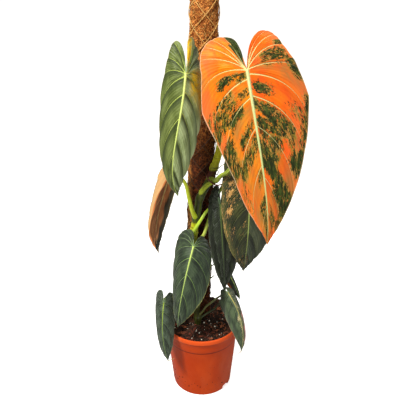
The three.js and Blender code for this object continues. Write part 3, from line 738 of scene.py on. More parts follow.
def make_blade(leaf):
    midrib = Midrib(leaf)
    rows, cols = leaf["rows"], leaf["cols"]
    veins = leaf.get("veins", (COMMON_VEINS, COMMON_VEINS))
    wide = 2 * cols
    plain = {}
    for half in (-1, 1):
        for i in range(rows + 1):
            for j in range(cols + 1):
                plain[half, i, j] = blade_point(leaf, midrib, half, i / rows, j / cols)

    def key(s, t):
        column = round(s * wide) - cols
        return (-1 if column < 0 else 1), round(t * rows), abs(column)

    def step_width(half, i, j):
        """Millimetres per vein interval at a place of the blade."""
        low, high = max(i - 1, 0), min(i + 1, rows)
        run = (plain[half, high, j][0] - plain[half, low, j][0]).length
        side = veins[0] if half < 0 else veins[1]
        turns = vein_place(side, high / rows, j / cols) - vein_place(side, low / rows, j / cols)
        return run / max(turns, 1e-4)

    def place(s, t):
        half, i, j = key(s, t)
        point, normal, _ = plain[half, i, j]
        u = j / cols
        if j == 0 or i in (0, rows):
            return point
        side = veins[0] if half < 0 else veins[1]
        phase = vein_place(side, i / rows, u) % 1.0
        ridge = 1 - abs(2 * phase - 1)
        bulge = 1 - (1 - ridge) ** 2 - PLEAT_MIDDLE
        depth = min(step_width(half, i, j) * PLEAT_SHARE, PLEAT_MOST)
        wave = noise.noise(Vector((i / rows * WAVES_ALONG, half * 3.1, leaf["roll"]))) * MARGIN_WAVE
        small = SMALL_PLEAT * math.cos(math.tau * SMALL_PLEATS * phase)
        grow = math.sin(math.pi * min(u, 0.84)) * min(1, u * 5)
        pleat = leaf.get("pleat", (1.0, 1.0))[0 if half < 0 else 1]
        lift = depth * (bulge - small) * grow * pleat + wave * u ** 5
        if "long_folds" in leaf:
            fading = min(1, 4 * (1 - i / rows))
            lift += leaf["long_folds"] * math.cos(math.tau * LONG_FOLD_COUNT * u) * grow * fading
        return point + normal * lift

    blade, shares = grid_sheet(leaf["name"], wide, rows, place)
    mesh = blade.data
    mesh.uv_layers.active.name = "growth"
    mesh.uv_layers.new(name="measure")
    mesh.color_attributes.new(name="variegation", type="FLOAT_COLOR", domain="CORNER")
    growth, measure = mesh.uv_layers["growth"], mesh.uv_layers["measure"]
    marks = mesh.color_attributes["variegation"]
    patches = PATCHES.get(leaf["name"], [])
    washes = WASHES.get(leaf["name"], [])
    length = midrib.length
    for face in mesh.polygons:
        half = -1 if sum(shares[k][0] for k in face.vertices) < 0.5 * len(face.vertices) else 1
        side = veins[0] if half < 0 else veins[1]
        offset = 0 if half < 0 else RIGHT_COUNT
        for corner in face.loop_indices:
            s, t = shares[mesh.loops[corner].vertex_index]
            i = round(t * rows)
            j = abs(round(s * wide) - cols)
            u = j / cols
            reach = plain[half, i, j][2]
            growth.data[corner].uv = (vein_place(side, t, u) + offset, u)
            measure.data[corner].uv = (step_width(half, i, j), reach * length * u)
            patch = max([mark_share(mark, half, t, u, *PATCH_SOFTNESS) for mark in patches] + [0])
            wash = max([mark_share(mark, half, t, u, *WASH_SOFTNESS) for mark in washes] + [0])
            marks.data[corner].color = (patch, wash, 0, 1)
    close_seams(blade, 1e-5)
    turn_outwards(blade)
    for finish in (blade_finish, under_finish):
        mesh.materials.append(finish(leaf["name"], LOOKS[leaf["name"]]))
    pick(blade)
    bpy.ops.object.modifier_add(type="SOLIDIFY")
    wall = blade.modifiers[-1]
    wall.thickness = BLADE_THICKNESS * MM
    wall.offset = 0
    wall.material_offset = 1
    wall.material_offset_rim = 0
    wall.use_rim = True
    apply_all(blade)
    if not face_up(blade, midrib):
        for face in blade.data.polygons:
            if face.material_index < 2:
                face.material_index = 1 - face.material_index
    smooth(blade, 70)
    return blade, midrib


def face_up(blade, midrib):
    """True when the faces of the first finish look the way the upper side does."""
    _, _, face, _ = midrib.at(0.4)
    total = Vector((0, 0, 0))
    for polygon in blade.data.polygons:
        if polygon.material_index == 0:
            total += polygon.normal * polygon.area
    return total.dot(face) > 0


RIB_SHARE = 0.0085
RIB_DROP = 0.55
RIB_END = 0.28
RIB_LEAST = 0.55
RIB_REACH = 0.985
RIB_STEPS = 44


def make_rib(leaf, midrib):
    """The rounded rib along the back of the blade, tapering to the drip tip."""
    points = []
    for i in range(RIB_STEPS + 1):
        a = RIB_REACH * i / RIB_STEPS
        point, _, face, _ = midrib.at(a)
        points.append(point - face * (BLADE_THICKNESS / 2 + RIB_DROP * (1 - a) * 0.6))
    thick = max(midrib.length * RIB_SHARE, RIB_LEAST)

    def radius_at(t, angle):
        return RIB_END + (thick - RIB_END) * (1 - t) ** 0.8

    finish = rib_finish(leaf["name"], LOOKS[leaf["name"]])
    return limb(leaf["name"] + "_rib", points, radius_at, 10, finish)


def make_drip_tip(leaf, midrib):
    """The thin curled end of the leaf, past the outline of the blade."""
    tip = midrib.at(1.0)[0]
    path = [midrib.at(0.96)[0], tip] + [tip + Vector(step) for step in leaf["drip"]]

    def radius_at(t, angle):
        return 0.25 + 0.6 * (1 - t)

    look = dict(LOOKS[leaf["name"]], rib=DRIP_TONES)
    finish = rib_finish(leaf["name"] + "_drip", look)
    name = leaf["name"] + "_drip_tip"
    return limb(name, curve_points(path, 20), radius_at, 8, finish, squash=0.6)


# Petioles and the stem

POLE = dict(foot_x=-9.6, foot_z=10, y=20, lean=0.0238, top=690, radius=19.9)
STEM_CLEARANCE = 30.3
STEM_RADIUS = 5.8
STEM_STATIONS = [
    (98, -1), (138, -1), (175, -10), (215, -18), (250, -24), (283, -20), (315, -17), (348, -7),
    (369, -2), (386, 13), (402, 29), (417, 40), (431, 53), (447, 67), (472, 76), (504, 58), (545, 36),
]
NODE_SWELL = 1.1
NODE_RING = 0.5
NODE_HEIGHTS = [138, 162, 205, 262, 286, 308, 334, 369, 403, 418, 506]
STEM_TIP = 42
STEM_TIP_RADIUS = 1.6
AERIAL_ROOTS = [
    ([(19, -6, 417), (25, -10, 419), (31, -10, 424), (37, -7, 427)], 0.9),
    ([(20, -8, 411), (25, -13, 411), (26, -13, 417), (22, -9, 420)], 0.8),
    ([(14, 10, 232), (19, 10, 233), (23, 11, 237)], 1.3),
    ([(14, 10, 206), (18, 10, 209), (22, 11, 213)], 1.2),
]
SHEATH_LINE = [
    (-2, -12, 377), (3, -15, 386), (10, -19, 396), (17, -24, 403), (24, -32, 409), (28, -44, 420),
]
HUSK_LINE = [(8, -18, 411), (14, -27, 406), (20, -35, 405), (28, -41, 407), (34, -45, 412)]
PETIOLES = {
    "leaf_1": (403, [(18, -22, 404), (24, -38, 415), (30, -53, 428), (40, -72, 444), (48, -80, 463),
                     (58, -84, 515), (67, -86, 570)], (3.9, 2.8)),
    "leaf_2": (504, [(24, -14, 522), (8, -22, 548), (-10, -32, 568), (-24, -46, 578),
                     (-25, -62, 583)], (3.3, 2.5)),
    "leaf_3": (334, [(-13, -19, 350), (-18, -27, 378), (-24, -34, 408), (-36, -38, 422),
                     (-47, -26, 419), (-47, -10, 411)], (4.4, 2.2)),
    "leaf_4": (284, [(3, -14, 304), (9, -13, 322), (18, -6, 348), (28, 0, 374), (42, -3, 400),
                     (56, -20, 422), (68, -44, 437)], (3.3, 2.4)),
    "leaf_5": (306, [(-10, -19, 318), (-1, -22, 336), (9, -17, 350), (20, -19, 361),
                     (30, -29, 370)], (3.2, 2.2)),
    "leaf_6": (262, [(-17, -22, 276), (-14, -35, 291)], (3, 2.1)),
    "leaf_7": (160, [(-22, -17, 180), (-38, -19, 191), (-52, -21, 195), (-61, -33, 195)], (2, 1.5)),
    "leaf_8": (142, [(1, -15, 155), (7, -16, 166), (16, -15, 174), (28, -8, 180), (38, -9, 187)],
               (2.3, 1.6)),
    "leaf_9": (134, [(6, -4, 141), (24, 3, 150), (38, 14, 168), (41, 24, 196), (41, 22, 210)],
               (2, 1.5)),
}


def pole_x(z):
    return POLE["foot_x"] + (z - POLE["foot_z"]) * POLE["lean"]


def beside_pole(z, angle):
    turn = math.radians(angle)
    return Vector((pole_x(z) + STEM_CLEARANCE * math.sin(turn),
                   POLE["y"] - STEM_CLEARANCE * math.cos(turn), z))


STEM_STEPS = 400
STEM_LINE = curve_points([beside_pole(*s) for s in STEM_STATIONS], STEM_STEPS)


def stem_at(height):
    return min(STEM_LINE, key=lambda p: abs(p.z - height))


def make_petiole(leaf, midrib):
    start_height, via, radii = PETIOLES[leaf["name"]]
    start = stem_at(start_height)
    point, _, face, _ = midrib.at(0.004)
    end = point - face * 0.9
    points = curve_points([start] + via + [end], 90)
    length = sum((b - a).length for a, b in zip(points, points[1:]))

    def radius_at(t, angle):
        radius = radii[0] + (radii[1] - radii[0]) * math.sqrt(t)
        along = t * length
        sheath = 1 + 0.28 * math.exp(-((along - 4) / 9) ** 2)
        knee = 1 + 0.16 * math.exp(-((length - along - 7) / 5) ** 2)
        channel = 1 - 0.13 * max(math.cos(angle - math.pi / 2), 0) ** 3
        end_taper = 1 - 0.25 * max(0, 1 - (length - along) / 3)
        return radius * sheath * knee * channel * end_taper

    finish = petiole_finish(leaf["name"])
    return limb(leaf["name"] + "_stalk", points, radius_at, 20, finish, first=(0, -1, 0.2))


def make_sheath():
    """The thick green petiole base that clasps the stem under the biggest leaf."""
    def radius_at(t, angle):
        return (5.0 - 2.0 * t) * min(1, 0.55 + 6 * t) * (1 + 0.05 * math.cos(3 * angle))

    line = curve_points(SHEATH_LINE, 48)
    return limb("petiole_sheath", line, radius_at, 20, petiole_finish("sheath"), first=(0, -1, 0),
                squash=0.8)


def make_husk():
    """The dried bract that is left at the same joint."""
    def radius_at(t, angle):
        middle = math.sin(math.pi * min(t * 0.9 + 0.08, 1))
        return (0.6 + 1.5 * middle) * (1 + 0.2 * math.sin(9 * t + angle))

    line = curve_points(HUSK_LINE, 32)
    return limb("dry_husk", line, radius_at, 10, petiole_finish("husk"), first=(0, -1, 0),
                squash=0.5)


def make_stem():
    lengths = [0.0]
    for a, b in zip(STEM_LINE, STEM_LINE[1:]):
        lengths.append(lengths[-1] + (b - a).length)
    whole = lengths[-1]
    node_spots = [lengths[STEM_LINE.index(stem_at(height))] for height in NODE_HEIGHTS]

    def radius_at(t, angle):
        along = t * whole
        swell = sum(math.exp(-((along - spot) / 4.5) ** 2) for spot in node_spots)
        ring = sum(math.exp(-((along - spot - 3.5) / 0.9) ** 2) for spot in node_spots)
        taper = min(1, max(0, (whole - along) / STEM_TIP))
        body = STEM_TIP_RADIUS + (STEM_RADIUS - STEM_TIP_RADIUS) * taper ** 0.6
        grain = 0.1 * math.sin(angle * 7 + along * 0.08)
        return body + (NODE_SWELL * swell + NODE_RING * ring + grain) * taper

    parts = [tube("stem_body", STEM_LINE, radius_at, 32, first=(0, -1, 0))]
    for points, radius in AERIAL_ROOTS:
        parts.append(tube("aerial_root", curve_points(points, 24),
                          lambda t, angle, r=radius: r * (1 - 0.45 * t), 8))
    stem = join(parts, "climbing_stem")
    coat(stem, stem_finish())
    smooth(stem)
    return stem


# Pole and net

NET = dict(strands=4, steps=220, pitch=155, radius=21.3, over=0.35, thick=0.5, foot=132, top=686,
           cross=645, cross_angle=-85)
COIR = dict(rows=300, sides=120, foot=12)
# Scales round and along the pole, a seed and the height of each layer of unevenness
COIR_ROUGH = [(0.16, 0.1, 0, 0.5), (0.5, 0.42, 40, 0.45), (1.3, 0.9, 90, 0.25)]
LOOSE_FIBRES = 1300
FIBRE_RANGE = (128, 689)


def make_coir():
    rows, foot = COIR["rows"], COIR["foot"]

    def place(s, t):
        z = foot + (POLE["top"] - foot) * min(max((t * (rows + 2) - 1) / rows, 0), 1)
        angle = math.tau * s
        out = Vector((math.cos(angle), math.sin(angle), 0))
        spot = out * 14
        radius = POLE["radius"]
        for round_scale, along_scale, seed, high in COIR_ROUGH:
            at = Vector((spot.x * round_scale, spot.y * round_scale, z * along_scale + seed))
            radius += noise.noise(at) * high
        if round(t * (rows + 2)) in (0, rows + 2):
            radius = 0
        return Vector((pole_x(z), POLE["y"], z)) + out * radius

    coir, _ = grid_sheet("coir_core", COIR["sides"], rows + 2, place)
    close_seams(coir)
    turn_outwards(coir)
    return coir


def make_fibres(count, seed):
    """Loose coir fibres: one thin limb, copied and laid round the sleeve."""
    pick_none()
    bpy.ops.mesh.primitive_cylinder_add(vertices=3, radius=1, depth=1, end_fill_type="TRIFAN")
    first = bpy.context.object
    bpy.ops.object.mode_set(mode="EDIT")
    for cut in (0.25, 0, -0.25):
        bpy.ops.mesh.select_all(action="SELECT")
        bpy.ops.mesh.bisect(plane_co=(0, 0, cut), plane_no=(0, 0, 1))
    bpy.ops.object.mode_set(mode="OBJECT")
    shape = [point.co.copy() for point in first.data.vertices]
    luck = random.Random(seed)
    copies = []
    for _ in range(count):
        piece = copy_of(first)
        z0 = luck.uniform(130, 686)
        angle0 = luck.uniform(0, math.tau)
        lean = luck.gauss(0, 1.0)
        reach = luck.uniform(9, 32)
        thick = luck.uniform(0.2, 0.48)
        lift = luck.uniform(0.1, 1.2)
        bow = luck.uniform(-0.9, 0.9)
        for point, at in zip(piece.data.vertices, shape):
            t = at.z
            along = t * reach
            height = z0 + along * math.sin(lean) + bow * reach * (0.25 - t * t)
            height = min(max(height, FIBRE_RANGE[0]), FIBRE_RANGE[1])
            angle = angle0 + along * math.cos(lean) / POLE["radius"] + at.x * thick / POLE["radius"]
            out = POLE["radius"] + 0.25 + at.y * thick + lift * (2 * abs(t)) ** 3
            point.co = Vector((pole_x(height) + out * math.cos(angle),
                               POLE["y"] + out * math.sin(angle),
                               height + at.x * thick * 0.5)) * MM
        copies.append(piece)
    bpy.data.objects.remove(first)
    return join(copies, "coir_fibres")


def make_net():
    strands = []
    foot, top = NET["foot"], NET["top"]
    for hand in (-1, 1):
        for k in range(NET["strands"]):
            points = []
            for i in range(NET["steps"] + 1):
                z = foot + (top - foot) * i / NET["steps"]
                wander = 0.05 * noise.noise(Vector((z * 0.02, k * 5.0, hand * 9.0)))
                turn = hand * math.tau * (z - NET["cross"]) / NET["pitch"]
                turn += math.tau * k / NET["strands"] + wander
                angle = math.radians(NET["cross_angle"]) + turn
                radius = NET["radius"] + (NET["over"] if hand > 0 else 0)
                points.append(Vector((pole_x(z) + radius * math.cos(angle),
                                      POLE["y"] + radius * math.sin(angle), z)))
            strands.append(tube("strand", points, lambda t, angle: NET["thick"], 6))
    net = join(strands, "net_cords")
    coat(net, net_finish())
    smooth(net)
    return net


# Pot and soil

POT = dict(height=130, lip=65, lip_height=8, lip_inner=61.8, foot=51, shoulder=62.6, wall=1.7,
           floor=2.4, collar_drop=28.5, collar_step=0.9, corner=3, inner_corner=11)
NOTCH = dict(width=13, height=6, depth=7, set_back=0.42, first=-35,
             sizes=(1.3, 1, 1, 1, 1, 1, 0.7, 0.7))
DRAIN = dict(count=6, radius=4, ring=31)
POT_SIDES = 160


def pot_outer(z):
    return POT["foot"] + (POT["shoulder"] - POT["foot"]) * z / (POT["height"] - POT["lip_height"])


def make_pot():
    height, shoulder = POT["height"], POT["height"] - POT["lip_height"]
    collar, corner = height - POT["collar_drop"], POT["corner"]
    lip, inner, wall = POT["lip"], POT["lip_inner"], POT["wall"]
    profile = [(0, 0.6), (20, 0.6), (POT["foot"] - 9, 0.5), (POT["foot"] - 7, 0)]
    for step in range(7):
        turn = math.radians(-90 + 90 * step / 6)
        profile.append((pot_outer(corner) - corner + corner * math.cos(turn),
                        corner + corner * math.sin(turn)))
    profile += [
        (pot_outer(25), 25), (pot_outer(50), 50), (pot_outer(75), 75),
        (pot_outer(collar) - POT["collar_step"] - 0.15, collar - 0.5),
        (pot_outer(collar) - POT["collar_step"], collar),
        (pot_outer(collar) - 0.2, collar + 0.5), (pot_outer(collar), collar + 1.1),
        (pot_outer(collar + 8), collar + 8), (POT["shoulder"], shoulder - 0.8),
        (POT["shoulder"] + 0.5, shoulder), (lip - 1.0, shoulder), (lip - 0.25, shoulder + 0.35),
        (lip, shoulder + 1.1), (lip - 0.1, shoulder + 4), (lip - 0.25, height - 1.4),
        (lip - 0.7, height - 0.45), (lip - 1.5, height), (inner + 1.1, height),
        (inner + 0.3, height - 0.35), (inner, height - 1.2),
        (POT["shoulder"] - wall, shoulder - 0.5),
        (pot_outer(60) - wall, 60),
        (pot_outer(POT["inner_corner"]) - wall, POT["inner_corner"]),
        (pot_outer(0) - POT["inner_corner"], POT["floor"]), (0, POT["floor"]),
    ]
    pot = lathe("pot_shell", profile, POT_SIDES)
    cutters = []
    for i, size in enumerate(NOTCH["sizes"]):
        turn = math.radians(NOTCH["first"]) + math.tau * i / len(NOTCH["sizes"])
        out = Vector((math.cos(turn), math.sin(turn), 0))
        block_size = [side * size * MM for side in (NOTCH["depth"] * 2, NOTCH["width"], NOTCH["height"] * 2)]
        sunk = Vector((0, 0, NOTCH["height"] * NOTCH["set_back"]))
        pick_none()
        bpy.ops.mesh.primitive_cube_add(size=1, scale=block_size)
        block = bpy.context.object
        block.rotation_euler = (0, math.radians(45), turn)
        block.location = (out * (POT["foot"] + NOTCH["depth"] * NOTCH["set_back"]) - sunk) * MM
        cutters.append(block)
    for i in range(DRAIN["count"]):
        turn = math.tau * (i + 0.5) / DRAIN["count"]
        pick_none()
        bpy.ops.mesh.primitive_cylinder_add(
            vertices=24, radius=DRAIN["radius"] * MM, depth=POT["floor"] * 4 * MM,
            location=(DRAIN["ring"] * math.cos(turn) * MM, DRAIN["ring"] * math.sin(turn) * MM, 0))
        cutters.append(bpy.context.object)
    for cutter in cutters:
        pick(pot)
        bpy.ops.object.modifier_add(type="BOOLEAN")
        cut = pot.modifiers[-1]
        cut.operation = "DIFFERENCE"
        cut.solver = "EXACT"
        cut.object = cutter
        bpy.ops.object.modifier_apply(modifier=cut.name)
        bpy.data.objects.remove(cutter)
    coat(pot, pot_finish())
    smooth(pot, 35)
    return pot


SOIL_EDGE = 124.5
SOIL_MOUND = 128.3
BACK_HEAP = 11.5
SOIL_ROUGH = [(0.09, 3, 1.3), (0.3, 8, 0.9), (0.8, 8, 0.7)]
SOIL_GAP = 0.4


def soil_height(x, y):
    out = min(math.hypot(x, y) / 60, 1)
    rough = sum(noise.noise(Vector((x * scale, y * scale, seed))) * high
                for scale, seed, high in SOIL_ROUGH)
    heap = BACK_HEAP * soft_box(y, 42, 90, 26) * soft_box(x, -22, 44, 26) * (1 - out ** 40 * 0.5)
    return SOIL_MOUND + (SOIL_EDGE - SOIL_MOUND) * out ** 2 + rough * (1 - out ** 8 * 0.5) + heap


def make_soil():
    sides, rings = 180, 70
    under, corner = POT["floor"] + SOIL_GAP, POT["inner_corner"]
    edge = pot_outer(SOIL_EDGE) - POT["wall"] - SOIL_GAP
    profile = [(0, under), (POT["foot"] - corner - 0.5, under),
               (pot_outer(corner) - POT["wall"] - SOIL_GAP, corner + 0.3)]
    for ring in range(rings + 1):
        profile.append((edge * (1 - ring / rings), None))
    count = len(profile) - 1

    def place(s, t):
        radius, height = profile[round(t * count)]
        angle = math.tau * s
        x, y = radius * math.cos(angle), radius * math.sin(angle)
        if height is None:
            height = soil_height(x, y)
        return Vector((x, y, height))

    soil, _ = grid_sheet("soil_bed", sides, count, place)
    close_seams(soil)
    turn_outwards(soil)
    return soil


def make_crumb(name, size, seed, levels=1):
    pick_none()
    bpy.ops.mesh.primitive_ico_sphere_add(subdivisions=levels, radius=1)
    crumb = bpy.context.object
    crumb.name = name
    luck = random.Random(seed)
    for point in crumb.data.vertices:
        point.co *= luck.uniform(0.72, 1.15)
        point.co = Vector([along * wide for along, wide in zip(point.co, size)]) * MM
    return crumb


def scatter(model, places):
    """Copies of one crumb, each turned, sized and laid in its own place."""
    shape = [point.co.copy() for point in model.data.vertices]
    copies = []
    for place, turn, size in places:
        piece = copy_of(model)
        about_x, about_y, about_z = (Matrix.Rotation(a, 3, axis) for a, axis in zip(turn, "XYZ"))
        spin = about_z @ about_y @ about_x
        for point, at in zip(piece.data.vertices, shape):
            point.co = spin @ (at * size) + Vector(place) * MM
        copies.append(piece)
    bpy.data.objects.remove(model)
    return copies


def strew(name, model, places, finish, angle=None):
    """Copies of the model laid in their places and joined into one piece."""
    piece = join(scatter(model, places), name)
    coat(piece, finish)
    if angle:
        smooth(piece, angle)
    return piece


SOIL_LEVEL = 125
POLE_KEEP_OFF = 23
STEM_KEEP_OFF = 8
STEM_FOOT = (-7, -10)
CRUMBS = 700
SPLINTERS = 230
PERLITE_GRAINS = 90


def clear_of_stems(x, y):
    from_pole = math.hypot(x - pole_x(SOIL_LEVEL), y - POLE["y"])
    from_stem = math.hypot(x - STEM_FOOT[0], y - STEM_FOOT[1])
    return from_pole > POLE_KEEP_OFF and from_stem > STEM_KEEP_OFF


def spot_on_soil(luck, radius):
    """A random place on the soil: its distance from the middle, x and y."""
    out, turn = radius * math.sqrt(luck.random()), luck.uniform(0, math.tau)
    return out, out * math.cos(turn), out * math.sin(turn)


def any_spin(luck):
    return [luck.uniform(0, ROUGH_TURN) for _ in range(3)]


def make_crumbs():
    luck = random.Random(4)
    places = []
    while len(places) < CRUMBS:
        out, x, y = spot_on_soil(luck, 60)
        if out > 59 or not clear_of_stems(x, y):
            continue
        spin = any_spin(luck)
        places.append(((x, y, soil_height(x, y) + 0.1), spin, luck.uniform(0.5, 1.5)))
    return strew("soil_crumbs", make_crumb("crumb", (1.4, 1.1, 0.9), 1), places, soil_finish())


SPECK_SCALE = 1.5
# Grains of soil stuck on the pot: angle round the pot, height and size
POT_SPECKS = [
    (-129, 34, 0.9), (-93, 21, 0.8), (-115, 19, 1.0), (-98, 24, 0.7), (-103, 29, 0.6), (-48, 19, 1.1),
    (-148, 40, 0.7), (-143, 22, 0.9), (-75, 52, 0.5), (-119, 54, 0.5), (20, 30, 0.9), (75, 18, 0.8),
    (130, 46, 0.7), (165, 12, 1.0), (48, 70, 0.6), (100, 60, 0.8), (-109, 25, 0.5), (-123, 26, 0.6),
    (-86, 16, 0.5), (-70, 30, 0.6), (-58, 36, 0.5), (-137, 30, 0.8), (-152, 25, 0.9), (-64, 22, 0.4),
]


def make_pot_specks():
    places = []
    for angle, height, size in POT_SPECKS:
        turn = math.radians(angle)
        out = pot_outer(height) + 0.15
        place = (out * math.cos(turn), out * math.sin(turn), height)
        places.append((place, (0.3, 0, turn), size * SPECK_SCALE))
    return strew("pot_specks", make_crumb("speck", (0.35, 1.0, 0.85), 8), places, soil_finish())


# Bark chips: place, turn and size
BARK_PLACES = [
    ((22, -33), 30, 1.15), ((9, -37), -20, 1.0), ((-33, -36), 8, 1.5), ((-12, -28), 60, 0.8),
    ((34, -18), 75, 0.9), ((-44, -12), 40, 1.0), ((-2, -46), 5, 0.9), ((30, 30), 20, 1.1),
    ((-36, 22), -40, 1.0), ((8, 50), 15, 1.2), ((-20, 46), 70, 0.9), ((48, 4), -60, 1.0),
    ((40, -34), 15, 0.9), ((-22, -48), 25, 0.8), ((14, -50), -35, 1.0), ((-50, 6), 80, 0.9),
    ((46, 24), 50, 0.8), ((-8, -38), 110, 0.7), ((16, -22), 140, 0.8), ((-30, -20), 150, 0.9),
]
PERLITE_PLACES = [
    (5, -28), (-4, -37), (-9, -33), (22, -20), (13, -6), (16, -12), (15.5, -15), (15.5, -21),
    (-25, -26), (4, -12), (30, -40), (-40, 10), (20, 44), (-10, 52), (42, 14), (-46, -22), (36, 0),
    (-16, -50), (0, -52), (48, -18), (-52, -4), (26, -8), (-20, -12), (10, -44),
]


def make_bark():
    luck = random.Random(9)
    places = []
    for (x, y), turn, size in BARK_PLACES:
        spin = (luck.uniform(-0.3, 0.3), luck.uniform(-0.3, 0.3), math.radians(turn))
        places.append(((x, y, soil_height(x, y) + 0.7), spin, size))
    model = make_crumb("chip", (6.2, 3.0, 1.28), 3, levels=2)
    return strew("bark_chips", model, places, bark_finish(), 30)


def make_small_chips():
    """Short reddish bark splinters mixed into the top of the soil."""
    luck = random.Random(31)
    places = []
    while len(places) < SPLINTERS:
        _, x, y = spot_on_soil(luck, 59)
        if not clear_of_stems(x, y):
            continue
        spin = (luck.uniform(-0.7, 0.7), luck.uniform(-0.7, 0.7), luck.uniform(0, ROUGH_TURN))
        places.append(((x, y, soil_height(x, y) + 0.4), spin, luck.uniform(0.5, 1.6)))
    return strew("bark_splinters", make_crumb("splinter", (2.4, 1.1, 0.7), 6), places, bark_finish())


def make_perlite():
    luck = random.Random(12)
    places = []
    for x, y in PERLITE_PLACES:
        spin = any_spin(luck)
        places.append(((x, y, soil_height(x, y) + 0.7), spin, luck.uniform(0.4, 1.35)))
    while len(places) < PERLITE_GRAINS:
        x, y = luck.uniform(-55, 55), luck.uniform(-55, 55)
        if math.hypot(x, y) < 56 and clear_of_stems(x, y):
            spin = any_spin(luck)
            places.append(((x, y, soil_height(x, y) + 0.5), spin, luck.uniform(0.2, 0.5)))
    model = make_crumb("grain", (1.3, 1.1, 1.0), 5, levels=2)
    return strew("perlite", model, places, perlite_finish(), 40)


# Finishes

GREEN_LOOK = dict(
    base=("2A3626", "46563A"), blotch="6A7A50", wash="7F8A5A", vein="8FB060", rib=("C8E05A", "8CA85C"),
    margin="A8B070", under=("6A8058", "7E9468"), under_vein="A9C088", sheen=0.2, band=0.45,
    crease_shade_tone="18201A", vein_width=0.6, vein_count=10, rib_width=1.3, ridge=0.7)
# Tones as colour codes: pairs are blended, "right" is for the right half, "under" for the back
# In each look, the tone for the bands beside the veins is painted shade in the creases.
LOOKS = {
    "leaf_1": dict(
        base=("F88A06", "EC6C06"), right=("F8720A", "F05A10"), outer="EC7038", shine=0.15,
        ridge=0.32, blotch="20280A", blotch_light="434F1C", olive=("747626", "B0863E"),
        amount=0.9, wash="98783A", vein="E8DC90", rib=("DCE8A0", "B0C874"), margin="EAC8A0",
        under=("D98A4A", "C87A48"), under_vein="E8C080", sheen=0.0, band=0.3, crease_shade_tone="B03C04",
        vein_width=0.95, vein_count=11, rib_width=2.3, stripe=0.25, halo=0.4),
    "leaf_2": dict(
        base=("566228", "727E40"), right=("8A9860", "ACBA82"), blotch="9A8420", wash="E8B808",
        vein="C4D466", rib=("E4F088", "C4D868"), margin="D0B898", under=("8FA070", "A0B084"),
        under_vein="C8D8A0", sheen=0.05, ridge=0.5, band=0.85, crease_shade_tone="2A3612",
        vein_width=0.95, vein_count=9, rib_width=2.3, halo=0.35),
    # Leaf 3: the under tones are its back in painted shade, the under wash its back in painted light.
    "leaf_3": dict(
        base=("5E5030", "6A5A3A"), blotch="34402C", wash="8A6A40", vein="A89060",
        rib=("C8C080", "B09060"), margin="B8A060", under=("8A5C38", "6A4630"), under_vein="E0A868",
        under_lit_wash="F0BE80", under_line="F08A4A", under_dark="141A12", sheen=0.1, band=0.2,
        crease_shade_tone="4A3420", vein_width=0.5, vein_count=10),
    "leaf_4": dict(
        base=("282E16", "42461F"), right=("343E2A", "4C5236"), ridge=0.8, blotch="C08C48",
        blotch_light="D8A868", wash="8A8440", vein="6E7A40", rib=("B0C060", "98A450"), margin="A89850",
        under=("7A8458", "8A9468"), under_vein="A8B078", sheen=0.2, band=0.75, crease_shade_tone="14180E",
        vein_width=0.5, vein_count=10, rib_width=1.4, stripe=0.25),
    "leaf_5": dict(
        base=("1A1E12", "2C3420"), blotch="566048", wash="4A5838", vein="46583A",
        ridge=0.5, stripe=0.15, rib=("56682C", "3C4A26"), margin="8FA048",
        under=("5A7050", "6A8060"), under_vein="88A070", sheen=0.2, band=0.25,
        crease_shade_tone="0C120C", vein_width=0.3, vein_count=10, rib_width=0.9),
    "leaf_6": dict(GREEN_LOOK, margin="C4C474", vein_count=9, rib_width=1.7, rib=("D8EC74", "84A060"),
                   vein_width=0.7),
    "leaf_7": dict(GREEN_LOOK, base=("323E2C", "566450"), rib=("A8C038", "78904C"), vein="708858",
                   vein_width=0.4, rib_width=0.9),
    "leaf_8": dict(GREEN_LOOK, base=("3A4632", "586848"), blotch="C8B888", blotch_light="A89060",
                   wash="E8A090", rib=("C8B860", "A8A058"), vein="7E9460", vein_width=0.4,
                   margin="C89078", rib_width=1.0),
    "leaf_9": dict(GREEN_LOOK, base=("241E14", "2C3A28"), wash="E07838", vein_width=0.35,
                   vein="5E7448", rib_width=0.7),
}

DRIP_TONES = ("8A8A4C", "C0A070")

